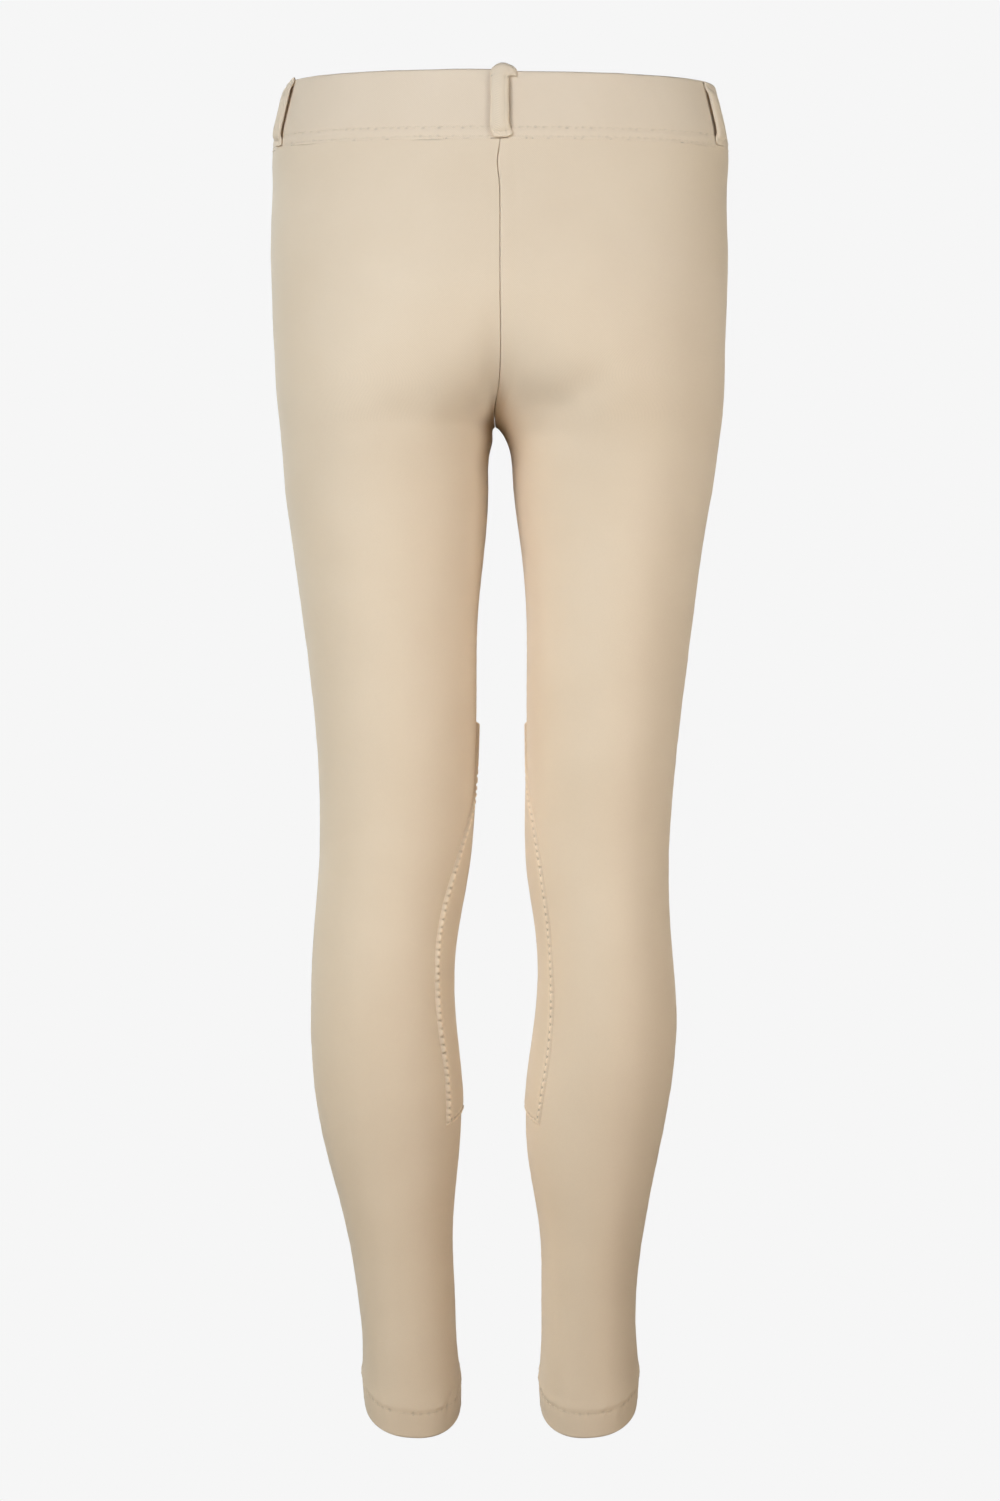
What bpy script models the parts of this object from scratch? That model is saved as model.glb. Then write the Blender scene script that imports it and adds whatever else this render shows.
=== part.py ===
"""Riding breeches for a child of about 140 cm, open and hollow as they are when worn.

Four leg panels, a waistband, five belt loops and two inner knee patches, each a closed solid.
Lengths in the tables are millimetres, and the objects are built in metres.
X runs to the wearer's left, Y to the wearer's back and Z up; the origin is in the middle of the
waist, half way up the waistband.
"""

from collections import namedtuple

import bmesh
import bpy
import numpy as np

MM = 0.001

# Cloth and seams.
CLOTH = 1.2  # one layer of the stretch cloth
SEAM_GAP = 0.3  # between neighbouring pieces
ON_PANEL_GAP = 0.7  # under a patch: the seam gap and the flats of two faceted surfaces

# Waistband: a folded strip over elastic, a little proud of the panels.
BAND_HALF = 20.0
BAND_PROUD = 0.5
BAND_INSIDE = 2.5
BAND_ROUND = 1.1  # radius of the folded top edge
BAND_TOP = 18.75  # height of that edge at the sides
BAND_RISE_BACK = 0.95  # and how much it rises to the back and falls to the front
BAND_STEP = 0.68  # the left half is higher and the right half lower by this
BAND_STEP_LENGTH = 0.06  # as a share of half the waist
BAND_COLUMNS = 60
BAND_ROWS = 5

# Hem: the cloth turned up inside, lower at the heel than over the instep.
HEM_Z = -744.0  # at the outer seam
HEM_TURN_UP = 16.0
HEM_DROP_BACK = 20.5
HEM_DROP_INNER = 4.5
HEM_RISE_FRONT = 18.0
HEM_TILT_FROM = -630.0  # where the rows begin to tilt towards the hem
HEM_FLARE = 1.4  # the doubled cloth stands out this much
HEM_FLARE_LENGTH = 14.0
HEM_ROLL = 1.2  # and its folded edge turns in this much
HEM_ROLL_LENGTH = 7.0
HEM_LAST_ROW = 1.2  # above the folded edge
HEM_STEP = 1.0  # the height in which one layer becomes two

# Panel grids.
PANEL_COLUMNS = 12
TORSO_ROWS = 12
LEG_ROWS = 24
LEG_SPREAD = 1.25  # the rows lie closer together near the crotch
CROTCH_FAN = 80.0  # how far from the crotch the rows bend towards it
CROTCH_HIGHEST, CROTCH_LOWEST = -150.0, -200.0
CROTCH_BLEND = 8.0  # rounds the fork between the legs
BRIDGE_BACK = 60.0  # and the cloth bridges the dip above it, more so in front
BRIDGE_FRONT = 130.0
TORSO_SQUARE = 2.3  # exponents of the superellipse sections
LEG_SQUARE = 2.05
HEM_SQUARE = 2.35
TORSO_SQUARE_FROM = -188.0
HEM_SQUARE_FROM = -660.0

SIDES = {"left": 1.0, "right": -1.0}

# Sections, top to bottom. outer and inner are the leg's two edges, measured sideways from the
# middle; inner is negative where the two legs' sections run into one torso. back and front are
# the depth behind and before the side seams.
Section = namedtuple(
    "Section", "z left_outer left_inner right_outer right_inner back front"
)
SECTIONS = (
    Section(60, 120, -120, 120, -120, 78, 78),
    Section(20, 123.8, -124.4, 124.4, -123.8, 83, 81),
    Section(-20, 132.2, -132.8, 132.8, -132.2, 90, 85),
    Section(-40, 132.2, -132, 132, -132, 94.5, 87),
    Section(-60, 132.9, -130, 131.9, -130, 99, 88),
    Section(-90, 132.9, -112, 132.4, -112, 104, 88),
    Section(-120, 131.9, -80, 131.2, -80, 105, 86),
    Section(-145, 130.7, -44, 130.6, -44, 101, 84),
    Section(-165, 129.6, -13, 130.1, -16, 94, 81),
    Section(-180, 128.1, 4.4, 128.8, -1.2, 87, 79),
    Section(-187, 127.5, 4.6, 127.8, 3.4, 84.5, 78),
    Section(-195, 126.8, 6.2, 126.8, 6.2, 82, 77),
    Section(-212, 125.6, 7.1, 124.5, 7.8, 77, 75),
    Section(-250, 120.8, 9.2, 118.1, 12.4, 70, 70),
    Section(-290, 115.3, 13.2, 112.8, 15.7, 65, 65),
    Section(-340, 109.1, 14, 106.5, 15.8, 59, 59),
    Section(-390, 105.5, 15.5, 101.2, 16.1, 55, 55),
    Section(-440, 106, 19.7, 98.5, 17, 53, 52),
    Section(-480, 109, 26.6, 100, 22.6, 56, 47),
    Section(-524, 110.2, 27.3, 102.9, 21.7, 60, 42),
    Section(-570, 107.5, 23, 98.9, 15.9, 58, 38),
    Section(-605, 100.7, 24.3, 92.3, 16.5, 52, 35),
    Section(-650, 89.2, 27.9, 83.8, 23.5, 45, 32),
    Section(-690, 82.7, 26.6, 79.4, 24.5, 41, 31),
    Section(-725, 79.6, 25.2, 79.9, 24.4, 40, 32),
    Section(-755, 81, 21.8, 82, 22.6, 41, 34),
    Section(-800, 82, 21, 83, 22, 42, 35),
)

# Soft folds along a line from one place to another. A place is a height and an angle round the
# leg: 0 the outer seam, 90 the back, 180 the inner seam, and negative over the front.
Fold = namedtuple("Fold", "side z0 angle0 z1 angle1 width depth")
FOLDS = (
    Fold("right", -177, 130, -152, 80, 13, -2.2),
    Fold("left", -179, 130, -160, 100, 12, -1.2),
    Fold("right", -202, 130, -225, 96, 15, 1.0),
    Fold("left", -174, -128, -148, -84, 12, -1.6),
    Fold("right", -174, -128, -150, -88, 12, -1.5),
    Fold("left", -204, -130, -188, -92, 12, -1.1),
    Fold("right", -206, -130, -192, -96, 12, -1.0),
    Fold("left", -712, -110, -706, -52, 10, -1.0),
    Fold("right", -715, -56, -708, -118, 10, -1.0),
)
FOLD_FADE = 1.25  # how soon a fold reaches its full depth from each end

# Knee patch outline: how far it reaches from the inner seam, in degrees, to the back and front.
Patch = namedtuple("Patch", "z left_back right_back front")
KNEE_PATCH = (
    Patch(-350, 3, 3, 50),
    Patch(-385, 5, 10, 60),
    Patch(-400, 14, 25, 65),
    Patch(-412, 27, 35, 67),
    Patch(-425, 36, 41, 69),
    Patch(-440, 43, 45, 71),
    Patch(-460, 48, 46, 71),
    Patch(-495, 48, 45, 65),
    Patch(-525, 45, 47, 59),
    Patch(-560, 41, 46, 50),
    Patch(-600, 42, 37, 38),
)
PATCH_TOP = -352.0
PATCH_BOTTOM = -587.0
PATCH_BOTTOM_LIFT = 8.0  # the bottom edge is this much higher at the inner seam
PATCH_THICK = 1.4  # its edge is turned under, so it is thicker than one layer
PATCH_COLUMNS = 10
PATCH_EDGE_ROW = 3.0  # the least distance from its top and bottom edge to the next row

# Belt loops: folded strips sewn to the band's face by both ends; the back one goes over the top
# edge instead. turn is the place round the waist in degrees: 0 the left, 90 the back, 180 the
# right. top is the height of the strip's upper end, or of its crest.
Loop = namedtuple("Loop", "name turn top over_edge")
BELT_LOOPS = (
    Loop("belt_loop_back", 89.6, 23.7, True),
    Loop("belt_loop_side_left", 13, 20.8, False),
    Loop("belt_loop_side_right", 165, 17.2, False),
    Loop("belt_loop_front_left", -47, 18.2, False),
    Loop("belt_loop_front_right", 227, 17.4, False),
)
LOOP_WIDTH = 10.4
LOOP_THICK = 2.4
LOOP_GAP = 1.8  # free space between the strip and the band
LOOP_FOOT = -19.2  # height of its lower end
LOOP_SEWN = 3.0  # how far each end lies against the band
LOOP_TAIL = 11.0  # height of the end inside the band
LOOP_PATH_STEPS = 16

LEG_CLOTH = (0.70, 0.59, 0.45)
BAND_CLOTH = (0.72, 0.61, 0.47)
PATCH_CLOTH = (0.67, 0.56, 0.42)

RAY_LENGTH = 200.0  # longer than any section's reach from a leg's middle
HALVINGS = 44


def natural_spline(rows, name):
    """A function of height that passes smoothly through a table's column."""
    z = np.array([row.z for row in rows][::-1], float)
    value = np.array([getattr(row, name) for row in rows][::-1], float)
    step = np.diff(z)
    slope = np.diff(value) / step
    matrix = np.eye(len(z))
    bend = np.zeros(len(z))
    for i in range(1, len(z) - 1):
        matrix[i, i - 1 : i + 2] = step[i - 1], 2 * (step[i - 1] + step[i]), step[i]
        bend[i] = 6 * (slope[i] - slope[i - 1])
    bend = np.linalg.solve(matrix, bend)

    def at(height):
        height = np.clip(height, z[0], z[-1])
        i = np.clip(np.searchsorted(z, height) - 1, 0, len(step) - 1)
        below, above = height - z[i], z[i + 1] - height
        return (
            (bend[i] * above**3 + bend[i + 1] * below**3) / (6 * step[i])
            + (value[i] / step[i] - bend[i] * step[i] / 6) * above
            + (value[i + 1] / step[i] - bend[i + 1] * step[i] / 6) * below
        )

    return at


SECTION = {name: natural_spline(SECTIONS, name) for name in Section._fields[1:]}
PATCH_REACH = {name: natural_spline(KNEE_PATCH, name) for name in Patch._fields[1:]}


def smooth_step(t):
    t = np.clip(t, 0, 1)
    return t * t * (3 - 2 * t)


def seam_x(z):
    """The centre seam, half way between the two legs' inner edges."""
    return (SECTION["left_inner"](z) - SECTION["right_inner"](z)) / 2


def section_of(side, z):
    """Middle and half sizes of one leg's section: x measured towards its own side, and y."""
    outer, inner = SECTION[side + "_outer"](z), SECTION[side + "_inner"](z)
    back, front = SECTION["back"](z), SECTION["front"](z)
    return (
        (outer + inner) / 2,
        (outer - inner) / 2,
        (back - front) / 2,
        (back + front) / 2,
    )


def squareness(z):
    """Exponent of the superellipse sections: squarer round the hips and at the hems."""
    torso = smooth_step((z - TORSO_SQUARE_FROM) / -TORSO_SQUARE_FROM)
    hem = smooth_step((HEM_SQUARE_FROM - z) / (HEM_SQUARE_FROM - HEM_Z))
    return (
        LEG_SQUARE
        + (TORSO_SQUARE - LEG_SQUARE) * torso
        + (HEM_SQUARE - LEG_SQUARE) * hem
    )


def leg_distance(side, x, y, z):
    """About how far a point is outside one leg's own section; negative inside."""
    middle_x, half_x, middle_y, half_y = section_of(side, z)
    power = squareness(z)
    across = np.abs(SIDES[side] * x - middle_x) / half_x
    deep = np.abs(y - middle_y) / half_y
    ratio = (across**power + deep**power) ** (1 / power)
    return (ratio - 1) * (half_x + half_y) / 2


def body_distance(x, y, z):
    """The same for the two legs together, rounded where they meet."""
    left, right = (leg_distance(side, x, y, z) for side in SIDES)
    middle_x, half_x, middle_y, half_y = section_of("left", z)
    apart = np.clip(middle_x / half_x, 0, 1)
    in_front = smooth_step(0.5 - (y - middle_y) / half_y)
    bridge = BRIDGE_BACK + (BRIDGE_FRONT - BRIDGE_BACK) * in_front
    blend = (CROTCH_BLEND + bridge * (1 - apart)) * apart**2 + 1e-6
    near = np.clip(1 - np.abs(left - right) / blend, 0, 1)
    return np.minimum(left, right) - near**2 * blend / 4


def body_normal(x, y, z):
    step = 0.05
    normal = np.stack(
        [
            body_distance(x + step, y, z) - body_distance(x - step, y, z),
            body_distance(x, y + step, z) - body_distance(x, y - step, z),
            body_distance(x, y, z + step) - body_distance(x, y, z - step),
        ],
        axis=-1,
    )
    return normal / np.linalg.norm(normal, axis=-1, keepdims=True)


def halve(distance, low, high):
    """Where distance changes from negative at low to positive at high."""
    for _ in range(HALVINGS):
        middle = (low + high) / 2
        inside = distance(middle) < 0
        low, high = np.where(inside, middle, low), np.where(inside, high, middle)
    return (low + high) / 2


def seam_angle(side, z, towards_back):
    """Angle at the leg's middle of the panel's inner edge: the centre seam, or the inner seam."""
    sign = SIDES[side]
    middle_x, half_x, middle_y, half_y = section_of(side, z)
    edge_x = seam_x(z) + sign * SEAM_GAP / 2
    way = 1.0 if towards_back else -1.0
    joined = body_distance(edge_x, middle_y, z) < 0
    reach = halve(
        lambda r: body_distance(edge_x, middle_y + way * r, z),
        np.zeros_like(z),
        np.full_like(z, RAY_LENGTH),
    )
    reach = np.maximum(reach, SEAM_GAP / 2)
    at_centre = np.arctan2(reach, sign * edge_x - middle_x)
    at_inner_seam = np.pi - SEAM_GAP / 2 / half_x
    return np.where(joined, at_centre, at_inner_seam)


def surface(side, z, angle):
    """Point and outward normal of the cloth's outer face, at a height and an angle in radians."""
    sign = SIDES[side]
    middle_x, _, middle_y, _ = section_of(side, z)
    across, back = np.cos(angle), np.sin(angle)
    to_seam = (middle_x - sign * seam_x(z)) / np.maximum(-across, 1e-6)
    limit = np.where(across < 0, np.minimum(RAY_LENGTH, to_seam), RAY_LENGTH)
    reach = halve(
        lambda r: body_distance(
            sign * (middle_x + r * across), middle_y + r * back, z
        ),
        np.zeros_like(z),
        limit,
    )
    x, y = sign * (middle_x + reach * across), middle_y + reach * back
    normal = body_normal(x, y, z)
    point = np.stack([x, y, z], axis=-1)
    return point + fold_height(side, z, angle)[..., None] * normal, normal


def fold_height(side, z, angle):
    """How far the soft folds move the cloth out, or in where it is negative."""
    height = np.zeros_like(z)
    degrees = np.degrees(angle)
    for fold in FOLDS:
        if fold.side != side:
            continue
        _, half_x, _, half_y = section_of(side, np.full_like(z, fold.z0))
        per_degree = np.radians(1) * (half_x + half_y) / 2
        up, around = z - fold.z0, (degrees - fold.angle0) * per_degree
        run_up, run_around = fold.z1 - fold.z0, (fold.angle1 - fold.angle0) * per_degree
        along = (up * run_up + around * run_around) / (run_up**2 + run_around**2)
        along = np.clip(along, 0, 1)
        off = np.hypot(up - along * run_up, around - along * run_around)
        fade = smooth_step(FOLD_FADE * (1 - np.abs(2 * along - 1)))
        height += fold.depth * np.exp(-((off / fold.width) ** 2)) * fade
    return height


def crotch_height():
    """Where the four panels meet: the lowest point of the centre seam."""
    return halve(
        lambda z: body_distance(seam_x(z), section_of("left", z)[2], z),
        np.array(CROTCH_HIGHEST),
        np.array(CROTCH_LOWEST),
    )


def panel_rows():
    """Heights of the panel's rows: at the outer seam, and at the inner edge, where they fan."""
    top = -BAND_HALF - SEAM_GAP / 2
    crotch = crotch_height()
    torso = np.linspace(top, crotch, TORSO_ROWS + 1)[:-1]
    leg_end = HEM_Z + HEM_TURN_UP + HEM_STEP
    leg = crotch + (leg_end - crotch) * np.linspace(0, 1, LEG_ROWS + 1) ** LEG_SPREAD
    hem = HEM_Z + np.array([HEM_TURN_UP, HEM_TURN_UP / 2, HEM_LAST_ROW, 0.0])
    outer = np.concatenate([torso, leg, hem])
    from_crotch = outer - crotch
    fanned = crotch + from_crotch * np.clip(np.abs(from_crotch) / CROTCH_FAN, 0, 1)
    return outer, fanned


def hem_tilt(side, z, angle):
    """How much lower a row runs at an angle round the leg than at its side seams."""
    share = smooth_step((HEM_TILT_FROM - z) / (HEM_TILT_FROM - HEM_Z))
    y = surface(side, z, angle)[0][..., 1]
    lower = np.where(
        y > 0,
        HEM_DROP_BACK * y / SECTION["back"](z),
        HEM_RISE_FRONT * y / SECTION["front"](z),
    )
    lower = lower + HEM_DROP_INNER * (1 - np.cos(angle)) / 2
    return -share * lower


def hem_shape(above_hem):
    """How far the outer face stands out and how thick the cloth is, by height above the hem."""
    turned_up = above_hem < HEM_TURN_UP + HEM_STEP / 2
    swell = np.exp(-(((above_hem - HEM_TURN_UP) / HEM_FLARE_LENGTH) ** 2)) * HEM_FLARE
    roll = HEM_ROLL * (1 - smooth_step(above_hem / HEM_ROLL_LENGTH))
    return swell - roll, np.where(turned_up, 2 * CLOTH, CLOTH)


def panel(name, side, towards_back):
    """A leg panel from the waist seam to the hem, between its inner edge and the outer seam."""
    outer_z, inner_z = panel_rows()
    t = np.linspace(0, 1, PANEL_COLUMNS + 1)
    z0, share = np.meshgrid(outer_z, t, indexing="ij")
    z1, _ = np.meshgrid(inner_z, t, indexing="ij")
    z = z0 + (z1 - z0) * (1 - share) ** 2
    _, half_x, _, _ = section_of(side, z)
    inner_edge = seam_angle(side, z, towards_back)
    outer_edge = SEAM_GAP / 2 / half_x
    angle = inner_edge + (outer_edge - inner_edge) * share
    if not towards_back:
        angle = -angle
    z = z + hem_tilt(side, z0, angle)
    point, normal = surface(side, z, angle)
    stand_out, thick = hem_shape(z0 - HEM_Z)
    outside = point + stand_out[..., None] * normal
    inside = outside - thick[..., None] * normal
    rings = np.concatenate([outside, inside[:, ::-1]], axis=1)
    return loft(name, rings, "leg_cloth", LEG_CLOTH)


def loft(name, rings, slot, colour, endless=False):
    """A closed solid through rings of points. Point i of a ring faces point -1-i across it."""
    mesh = bpy.data.meshes.new(name)
    work = bmesh.new()
    verts = [[work.verts.new(point * MM) for point in ring] for ring in rings]
    around = len(verts[0])
    pairs = list(zip(verts, verts[1:]))
    if endless:
        pairs.append((verts[-1], verts[0]))
    for low, high in pairs:
        for i in range(around):
            j = (i + 1) % around
            work.faces.new((low[i], low[j], high[j], high[i]))
    if not endless:
        for end in (verts[0], verts[-1]):
            for i in range(around // 2 - 1):
                work.faces.new((end[i], end[i + 1], end[-2 - i], end[-1 - i]))
    bmesh.ops.recalc_face_normals(work, faces=work.faces)
    work.to_mesh(mesh)
    work.free()
    mesh.shade_smooth()
    mesh.set_sharp_from_angle(angle=np.radians(40))
    mesh.materials.append(material(slot, colour))
    made = bpy.data.objects.new(name, mesh)
    COLLECTION.objects.link(made)
    return made


def material(name, colour):
    found = bpy.data.materials.get(name)
    if found:
        return found
    made = bpy.data.materials.new(name)
    made.use_nodes = True
    shader = made.node_tree.nodes["Principled BSDF"]
    shader.inputs["Base Color"].default_value = (*colour, 1)
    shader.inputs["Roughness"].default_value = 0.9
    shader.inputs["Metallic"].default_value = 0.0
    return made


def waist_face(turn, height):
    """Point of the body's face at an angle round the waist, and the level direction away from it."""
    on_left = np.cos(turn) >= 0
    left = surface("left", height, np.where(on_left, turn, 0))
    right = surface("right", height, np.where(on_left, 0, np.pi - turn))
    point, normal = (np.where(on_left[..., None], a, b) for a, b in zip(left, right))
    level = normal * (1, 1, 0)
    return point, level / np.linalg.norm(level, axis=-1, keepdims=True)


def band_top(turn):
    """Height of the waistband's folded edge: highest at the back, with a step at its seam."""
    step = np.tanh(np.cos(turn) / BAND_STEP_LENGTH)
    return BAND_TOP + BAND_RISE_BACK * np.sin(turn) + BAND_STEP * step


def waistband():
    """One endless strip: upright faces, a rounded fold at the top, a cut edge below."""
    fold = np.radians((45, 90, 135))
    middle = (BAND_PROUD - BAND_INSIDE) / 2
    half = (BAND_PROUD + BAND_INSIDE) / 2
    faces = np.full(BAND_ROWS, half)
    outward = middle + np.concatenate([faces, half * np.cos(fold), -faces])
    turn = np.radians(np.linspace(-90, 270, BAND_COLUMNS, endpoint=False))
    low = -BAND_HALF + SEAM_GAP / 2
    shoulder = band_top(turn)[:, None] - BAND_ROUND
    up = low + (shoulder - low) * np.linspace(0, 1, BAND_ROWS)
    height = np.hstack([up, shoulder + BAND_ROUND * np.sin(fold), up[:, ::-1]])
    point, level = waist_face(turn[:, None] + 0 * height, height)
    rings = point + outward[:, None] * level
    return loft("waistband", rings, "waistband_cloth", BAND_CLOTH, endless=True)


def loop_path(loop):
    """Middle line of a belt loop's strip: distance out from the band's face, and height."""
    half = LOOP_THICK / 2
    against = SEAM_GAP + half
    out = LOOP_GAP + half
    points = [
        (against, LOOP_FOOT + 0.4),
        (against, LOOP_FOOT + LOOP_SEWN),
        (out, LOOP_FOOT + 3 * LOOP_SEWN),
        (out, 0),
    ]
    if loop.over_edge:
        inside = -BAND_PROUD - BAND_INSIDE - against
        edge = BAND_TOP + BAND_RISE_BACK + BAND_STEP
        points += [
            (out, edge - 9),
            (out - 0.4, edge - 3),
            (out - 1.6, edge + 1.0),
            (inside / 3, loop.top - half),
            (inside, edge - 1.0),
            (inside, LOOP_TAIL),
        ]
    else:
        points += [
            (out, loop.top - 3 * LOOP_SEWN),
            (against, loop.top - LOOP_SEWN),
            (against, loop.top - 0.4),
        ]
    return curve_through(np.array(points), LOOP_PATH_STEPS)


def curve_through(points, steps):
    """Even steps along a smooth curve through points."""
    ends = np.vstack([2 * points[0] - points[1], points, 2 * points[-1] - points[-2]])
    fine = []
    for a, b, c, d in zip(ends, ends[1:], ends[2:], ends[3:]):
        for t in np.linspace(0, 1, 12, endpoint=False):
            fine.append(
                (2 * b + (c - a) * t + (2 * a - 5 * b + 4 * c - d) * t**2
                 + (3 * b - a - 3 * c + d) * t**3) / 2
            )
    fine = np.array(fine + [points[-1]])
    length = np.r_[0, np.cumsum(np.linalg.norm(np.diff(fine, axis=0), axis=1))]
    at = np.linspace(0, length[-1], steps)
    return np.stack([np.interp(at, length, column) for column in fine.T], axis=1)


def belt_loop(loop):
    """A strip that follows loop_path out from the band's own face."""
    path = loop_path(loop)
    along = np.gradient(path, axis=0)
    along /= np.linalg.norm(along, axis=1, keepdims=True)
    across = np.array((-0.5, -0.42, 0.0, 0.42, 0.5)) * LOOP_WIDTH
    half_thick = np.array((0.26, 0.44, 0.5, 0.44, 0.26)) * LOOP_THICK
    across = np.concatenate([across, across[::-1]])
    half_thick = np.concatenate([half_thick, -half_thick])

    here, there = waist_face(np.radians((loop.turn, loop.turn + 1)), np.zeros(2))[0]
    turn = np.radians(loop.turn + across / np.linalg.norm(there - here))
    out = path[:, :1] + half_thick * along[:, 1:]
    height = path[:, 1:] - half_thick * along[:, :1]
    turn, middle = np.meshgrid(turn, path[:, 1], indexing="xy")
    point, level = waist_face(turn, np.clip(middle, LOOP_FOOT, BAND_HALF))
    rings = point * (1, 1, 0) + (BAND_PROUD + out)[..., None] * level
    rings[..., 2] = height
    return loft(loop.name, rings, "belt_loop_cloth", BAND_CLOTH)


def knee_patch(name, side):
    """A patch over the inner seam from above the knee to the calf, on both leg panels."""
    panel_z = panel_rows()[0]
    under = np.sort(np.concatenate([panel_z, (panel_z[1:] + panel_z[:-1]) / 2]))[::-1]
    lowest = PATCH_BOTTOM + PATCH_BOTTOM_LIFT + PATCH_EDGE_ROW
    under = under[(under < PATCH_TOP - PATCH_EDGE_ROW) & (under > lowest)]
    row_z = np.concatenate([[PATCH_TOP], under, [PATCH_BOTTOM]])
    z, share = np.meshgrid(row_z, np.linspace(-1, 1, PATCH_COLUMNS + 1), indexing="ij")
    z[-1] += PATCH_BOTTOM_LIFT * np.exp(-2 * share[-1] ** 2)
    back, front = PATCH_REACH[side + "_back"](z), PATCH_REACH["front"](z)
    past_seam = -back + (share + 1) / 2 * (front + back)
    angle = np.radians(180 + past_seam)
    point, normal = surface(side, z, angle)
    outside = point + (ON_PANEL_GAP + PATCH_THICK) * normal
    inside = point + ON_PANEL_GAP * normal
    rings = np.concatenate([outside, inside[:, ::-1]], axis=1)
    return loft(name, rings, "knee_patch_cloth", PATCH_CLOTH)


def build():
    for side in SIDES:
        panel(f"back_{side}", side, towards_back=True)
        panel(f"front_{side}", side, towards_back=False)
        knee_patch(f"knee_patch_{side}", side)
    waistband()
    for loop in BELT_LOOPS:
        belt_loop(loop)


for startup in list(bpy.data.objects):
    bpy.data.objects.remove(startup)
COLLECTION = bpy.data.collections.new("riding_breeches")
bpy.context.scene.collection.children.link(COLLECTION)
build()
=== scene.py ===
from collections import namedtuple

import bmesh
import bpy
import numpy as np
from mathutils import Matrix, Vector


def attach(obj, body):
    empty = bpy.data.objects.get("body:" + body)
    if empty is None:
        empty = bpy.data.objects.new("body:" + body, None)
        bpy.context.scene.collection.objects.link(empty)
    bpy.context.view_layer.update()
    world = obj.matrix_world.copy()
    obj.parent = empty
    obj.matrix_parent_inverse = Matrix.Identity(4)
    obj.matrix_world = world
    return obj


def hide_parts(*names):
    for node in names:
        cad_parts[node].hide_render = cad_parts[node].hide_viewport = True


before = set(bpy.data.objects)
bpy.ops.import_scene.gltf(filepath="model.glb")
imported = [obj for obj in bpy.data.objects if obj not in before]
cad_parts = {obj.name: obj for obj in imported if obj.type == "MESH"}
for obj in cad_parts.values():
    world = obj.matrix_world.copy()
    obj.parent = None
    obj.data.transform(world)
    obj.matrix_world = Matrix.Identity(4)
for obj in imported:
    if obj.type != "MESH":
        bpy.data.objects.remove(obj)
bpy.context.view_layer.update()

# Looks of the riding breeches: each solid of the frame is replaced by thin cloth on its form, with
# rolled seams, turned-up hems, soft creases and stitches.
# Lengths are millimetres up to the point where a mesh is made, which is in metres. X runs to the
# wearer's left, Y to the wearer's back and Z up, with the origin in the middle of the waist.

MM = 0.001

# ------------------------------
# The garment's form: the same sections as the solids.

Section = namedtuple("Section", "z left_outer left_inner right_outer right_inner back front")
SECTIONS = [Section(*row) for row in (
    (60, 120, -120, 120, -120, 78, 78),
    (20, 123.8, -124.4, 124.4, -123.8, 83, 81),
    (-20, 132.2, -132.8, 132.8, -132.2, 90, 85),
    (-40, 132.2, -132, 132, -132, 94.5, 87),
    (-60, 132.9, -130, 131.9, -130, 99, 88),
    (-90, 132.9, -112, 132.4, -112, 104, 88),
    (-120, 131.9, -80, 131.2, -80, 105, 86),
    (-145, 130.7, -44, 130.6, -44, 101, 84),
    (-165, 129.6, -13, 130.1, -16, 94, 81),
    (-180, 128.1, 4.4, 128.8, -1.2, 87, 79),
    (-187, 127.5, 4.6, 127.8, 3.4, 84.5, 78),
    (-195, 126.8, 6.2, 126.8, 6.2, 82, 77),
    (-212, 125.6, 7.1, 124.5, 7.8, 77, 75),
    (-250, 120.8, 9.2, 118.1, 12.4, 70, 70),
    (-290, 115.3, 13.2, 112.8, 15.7, 65, 65),
    (-340, 109.1, 14, 106.5, 15.8, 59, 59),
    (-390, 105.5, 15.5, 101.2, 16.1, 55, 55),
    (-440, 106, 19.7, 98.5, 17, 53, 52),
    (-480, 109, 26.6, 100, 22.6, 56, 47),
    (-524, 110.2, 27.3, 102.9, 21.7, 60, 42),
    (-570, 107.5, 23, 98.9, 15.9, 58, 38),
    (-605, 100.7, 24.3, 92.3, 16.5, 52, 35),
    (-650, 89.2, 27.9, 83.8, 23.5, 45, 32),
    (-690, 82.7, 26.6, 79.4, 24.5, 41, 31),
    (-725, 79.6, 25.2, 79.9, 24.4, 40, 32),
    (-755, 81, 21.8, 82, 22.6, 41, 34),
    (-800, 82, 21, 83, 22, 42, 35),
)]
SIDES = {"left": 1.0, "right": -1.0}
TORSO_SQUARE, LEG_SQUARE, HEM_SQUARE = 2.3, 2.05, 2.35
TORSO_SQUARE_FROM, HEM_SQUARE_FROM = -188.0, -660.0
CROTCH_HIGHEST, CROTCH_LOWEST = -150.0, -200.0
CROTCH_BLEND = 8.0
BRIDGE_BACK, BRIDGE_FRONT = 60.0, 130.0
CROTCH_FAN = 80.0
BAND_HALF = 20.0
HEM_Z = -744.0
HEM_TURN_UP = 16.0
HEM_DROP_BACK = 20.5
HEM_DROP_INNER = 4.5
HEM_RISE_FRONT = 18.0
HEM_TILT_FROM = -630.0
RAY_LENGTH = 200.0
HALVINGS = 40

# Cloth and seams.
CLOTH = 0.8
SEAM_GAP = 0.3
SEAM_ROLL = 0.5  # radius of the rolled edge beside a seam
SEAM_SUNK = 1.3  # how deep the cloth goes on between the two edges
SEAM_LEFT_OPEN = 0.04  # between the two edges at that depth
# The centre back seam's sway to the wearer's left: height of its middle, length and size.
SEAM_SWAY = ((-33.0, 9.0, 1.6), (-138.0, 25.0, -0.3))
SEAM_SWAY_WIDTH = 20.0
ROW_STEP = 2.5
COLUMN_STEP = 2.5

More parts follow.
